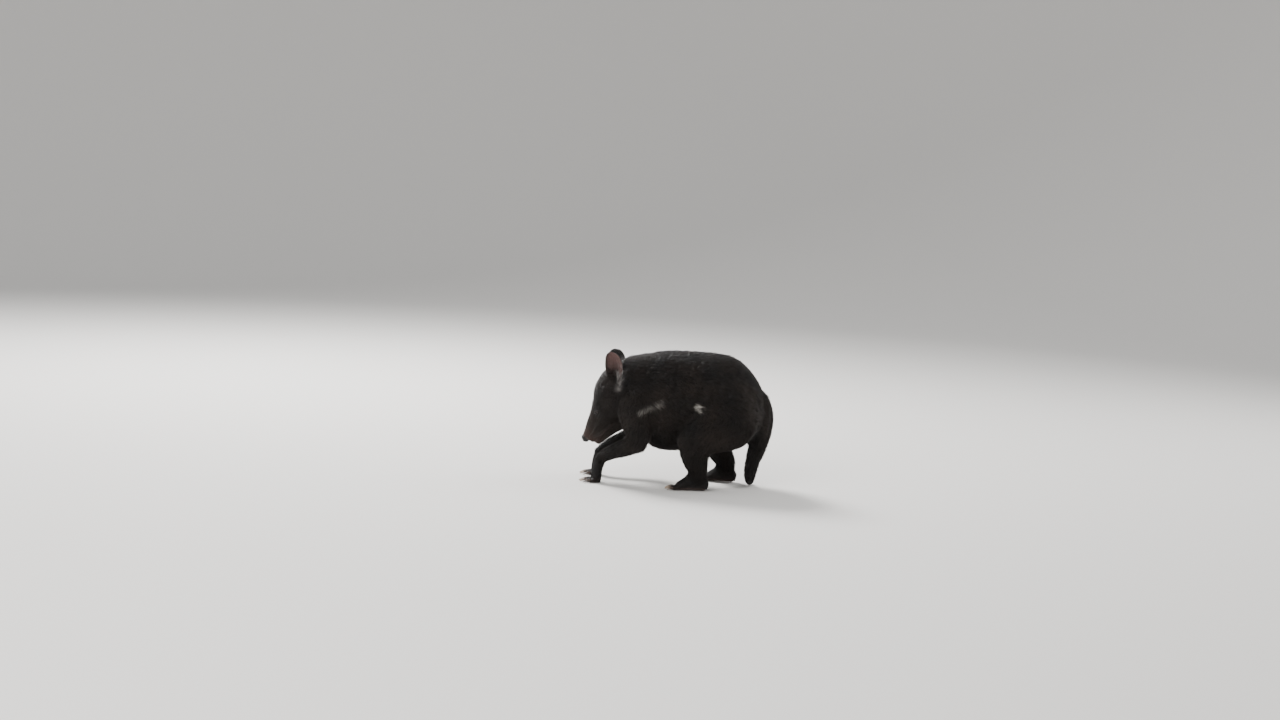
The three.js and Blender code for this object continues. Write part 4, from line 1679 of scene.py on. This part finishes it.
@dataclass
class Stage:
    """Floor, backdrop, soft lights and the camera."""

    pixel_of_middle: tuple[float, float] = (680, 420)
    image: tuple[int, int] = (1280, 720)
    focal_px: float = 1600
    film: float = 36
    distance: float = 3.2
    elevation: float = math.radians(8)
    roll: float = math.radians(4)
    flat: float = 4.4
    bend: float = 3.0
    steps: int = 14
    glow: float = 0.66
    middle: Vector = field(default_factory=lambda: Vector((0.0048, 0, 0.1294)))
    lamps: tuple[Lamp, ...] = (
        Lamp("key", (-1.5, 1.5, 2.3), 1.1, 205),
        Lamp("fill", (-1.6, -2.8, 1.8), 2.0, 100),
        Lamp("rim", (2.4, 1.2, 2.0), 1.8, 45),
    )

    def camera(self) -> None:
        """Sets the camera where the photograph was taken from."""
        forward = Vector((0, math.cos(self.elevation), -math.sin(self.elevation)))
        right = Vector((1, 0, 0))
        up = right.cross(forward)
        turned_right = right * math.cos(self.roll) + up * math.sin(self.roll)
        turned_up = up * math.cos(self.roll) - right * math.sin(self.roll)
        base = Matrix((turned_right, turned_up, -forward)).transposed()
        aside, below = ((p - size / 2) / self.focal_px for p, size in zip(self.pixel_of_middle, self.image))
        seen = Vector((aside, -below, -1)).normalized()
        aim = seen.rotation_difference(Vector((0, 0, -1))).to_matrix()
        data = bpy.data.cameras.new("camera")
        data.sensor_width = self.film
        data.lens = self.focal_px / self.image[0] * self.film
        data.clip_start = 0.05
        data.clip_end = 50
        camera = placed("camera", data)
        place = Matrix.Translation(self.middle - forward * self.distance)
        camera.matrix_world = place @ (base @ aim).to_4x4()
        bpy.context.scene.camera = camera

    def lights(self) -> None:
        """Sets the lamps, all turned to the middle of the animal, and the glow of the studio."""
        for lamp in self.lamps:
            data = bpy.data.lights.new(lamp.name, "AREA")
            data.size = lamp.size
            data.energy = lamp.power
            light = placed(lamp.name, data)
            light.location = lamp.place
            light.rotation_euler = (self.middle - Vector(lamp.place)).to_track_quat("-Z", "Y").to_euler()
        world = bpy.data.worlds.new("studio")
        bpy.context.scene.world = world
        world.use_nodes = True
        world.node_tree.nodes["Background"].inputs["Color"].default_value = (*TONES.studio, 1)
        world.node_tree.nodes["Background"].inputs["Strength"].default_value = self.glow

    def floor(self) -> None:
        """A pale round floor that curves up all round into a plain backdrop."""
        bpy.ops.object.select_all(action="DESELECT")
        bpy.ops.mesh.primitive_circle_add(vertices=96, radius=self.flat, fill_type="NGON")
        piece = bpy.context.object
        piece.name = "floor"
        bpy.ops.object.mode_set(mode="EDIT")
        bpy.ops.mesh.select_all(action="SELECT")
        radius, height = self.flat, 0.0
        for step in range(1, self.steps + 1):
            angle = math.pi / 2 * step / self.steps
            onward = self.flat + self.bend * math.sin(angle)
            above = self.bend * (1 - math.cos(angle))
            bpy.ops.mesh.extrude_region_move(TRANSFORM_OT_translate={"value": (0, 0, above - height)})
            bpy.ops.transform.resize(value=(onward / radius, onward / radius, 1))
            radius, height = onward, above
        bpy.ops.mesh.delete(type="ONLY_FACE")
        bpy.ops.object.mode_set(mode="OBJECT")
        shade_smooth(piece)
        material, _, _ = new_material(
            "pale_floor", Base_Color=(*TONES.pale_floor, 1), Roughness=0.95, Specular_IOR_Level=0.2
        )
        piece.data.materials.append(material)

    def build(self) -> None:
        """Makes the whole stage."""
        self.camera()
        self.lights()
        self.floor()


def finish_piece(piece: bpy.types.Object, material: bpy.types.Material, slot: str, *nodes: str) -> None:
    """Dresses a piece, lets it ride on the body and hides the solids that it replaces.

    Args:
        piece: The piece.
        material: Its material.
        slot: Not used.
        nodes: The solids that it replaces.
    """
    piece.data.materials.clear()
    piece.data.materials.append(material)
    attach(piece, "root")
    if nodes:
        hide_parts(*nodes)
    log.info("%s: %d points, %d faces", piece.name, len(piece.data.vertices), len(piece.data.polygons))


def main() -> None:
    """Builds and dresses the animal."""
    Stage().build()
    flesh = Flesh()
    skin = Skin(flesh)
    hide = skin.build()
    markings = Markings()
    dress = Dress(skin, markings)
    dress.paint()
    finish_piece(hide, HideFinish().material(), "coat", *flesh.names)
    coat = Coat(skin, dress, markings)
    fur = FUR.material()
    for piece in coat.build():
        finish_piece(piece, fur, "coat")
    finish_piece(Whiskers(coat.tree).build(), BRISTLE.material(), "coat")
    wet = WET_EYE.material()
    for side in Side:
        finish_piece(Eye(side).build(), wet, "eye", f"eye_{side.name.lower()}")
    horn = HORN.material()
    for foot in Region.FOOT.value:
        claws = Claws(foot)
        finish_piece(claws.build(), horn, "claw", *claws.names())


if __name__ == "__main__":
    main()
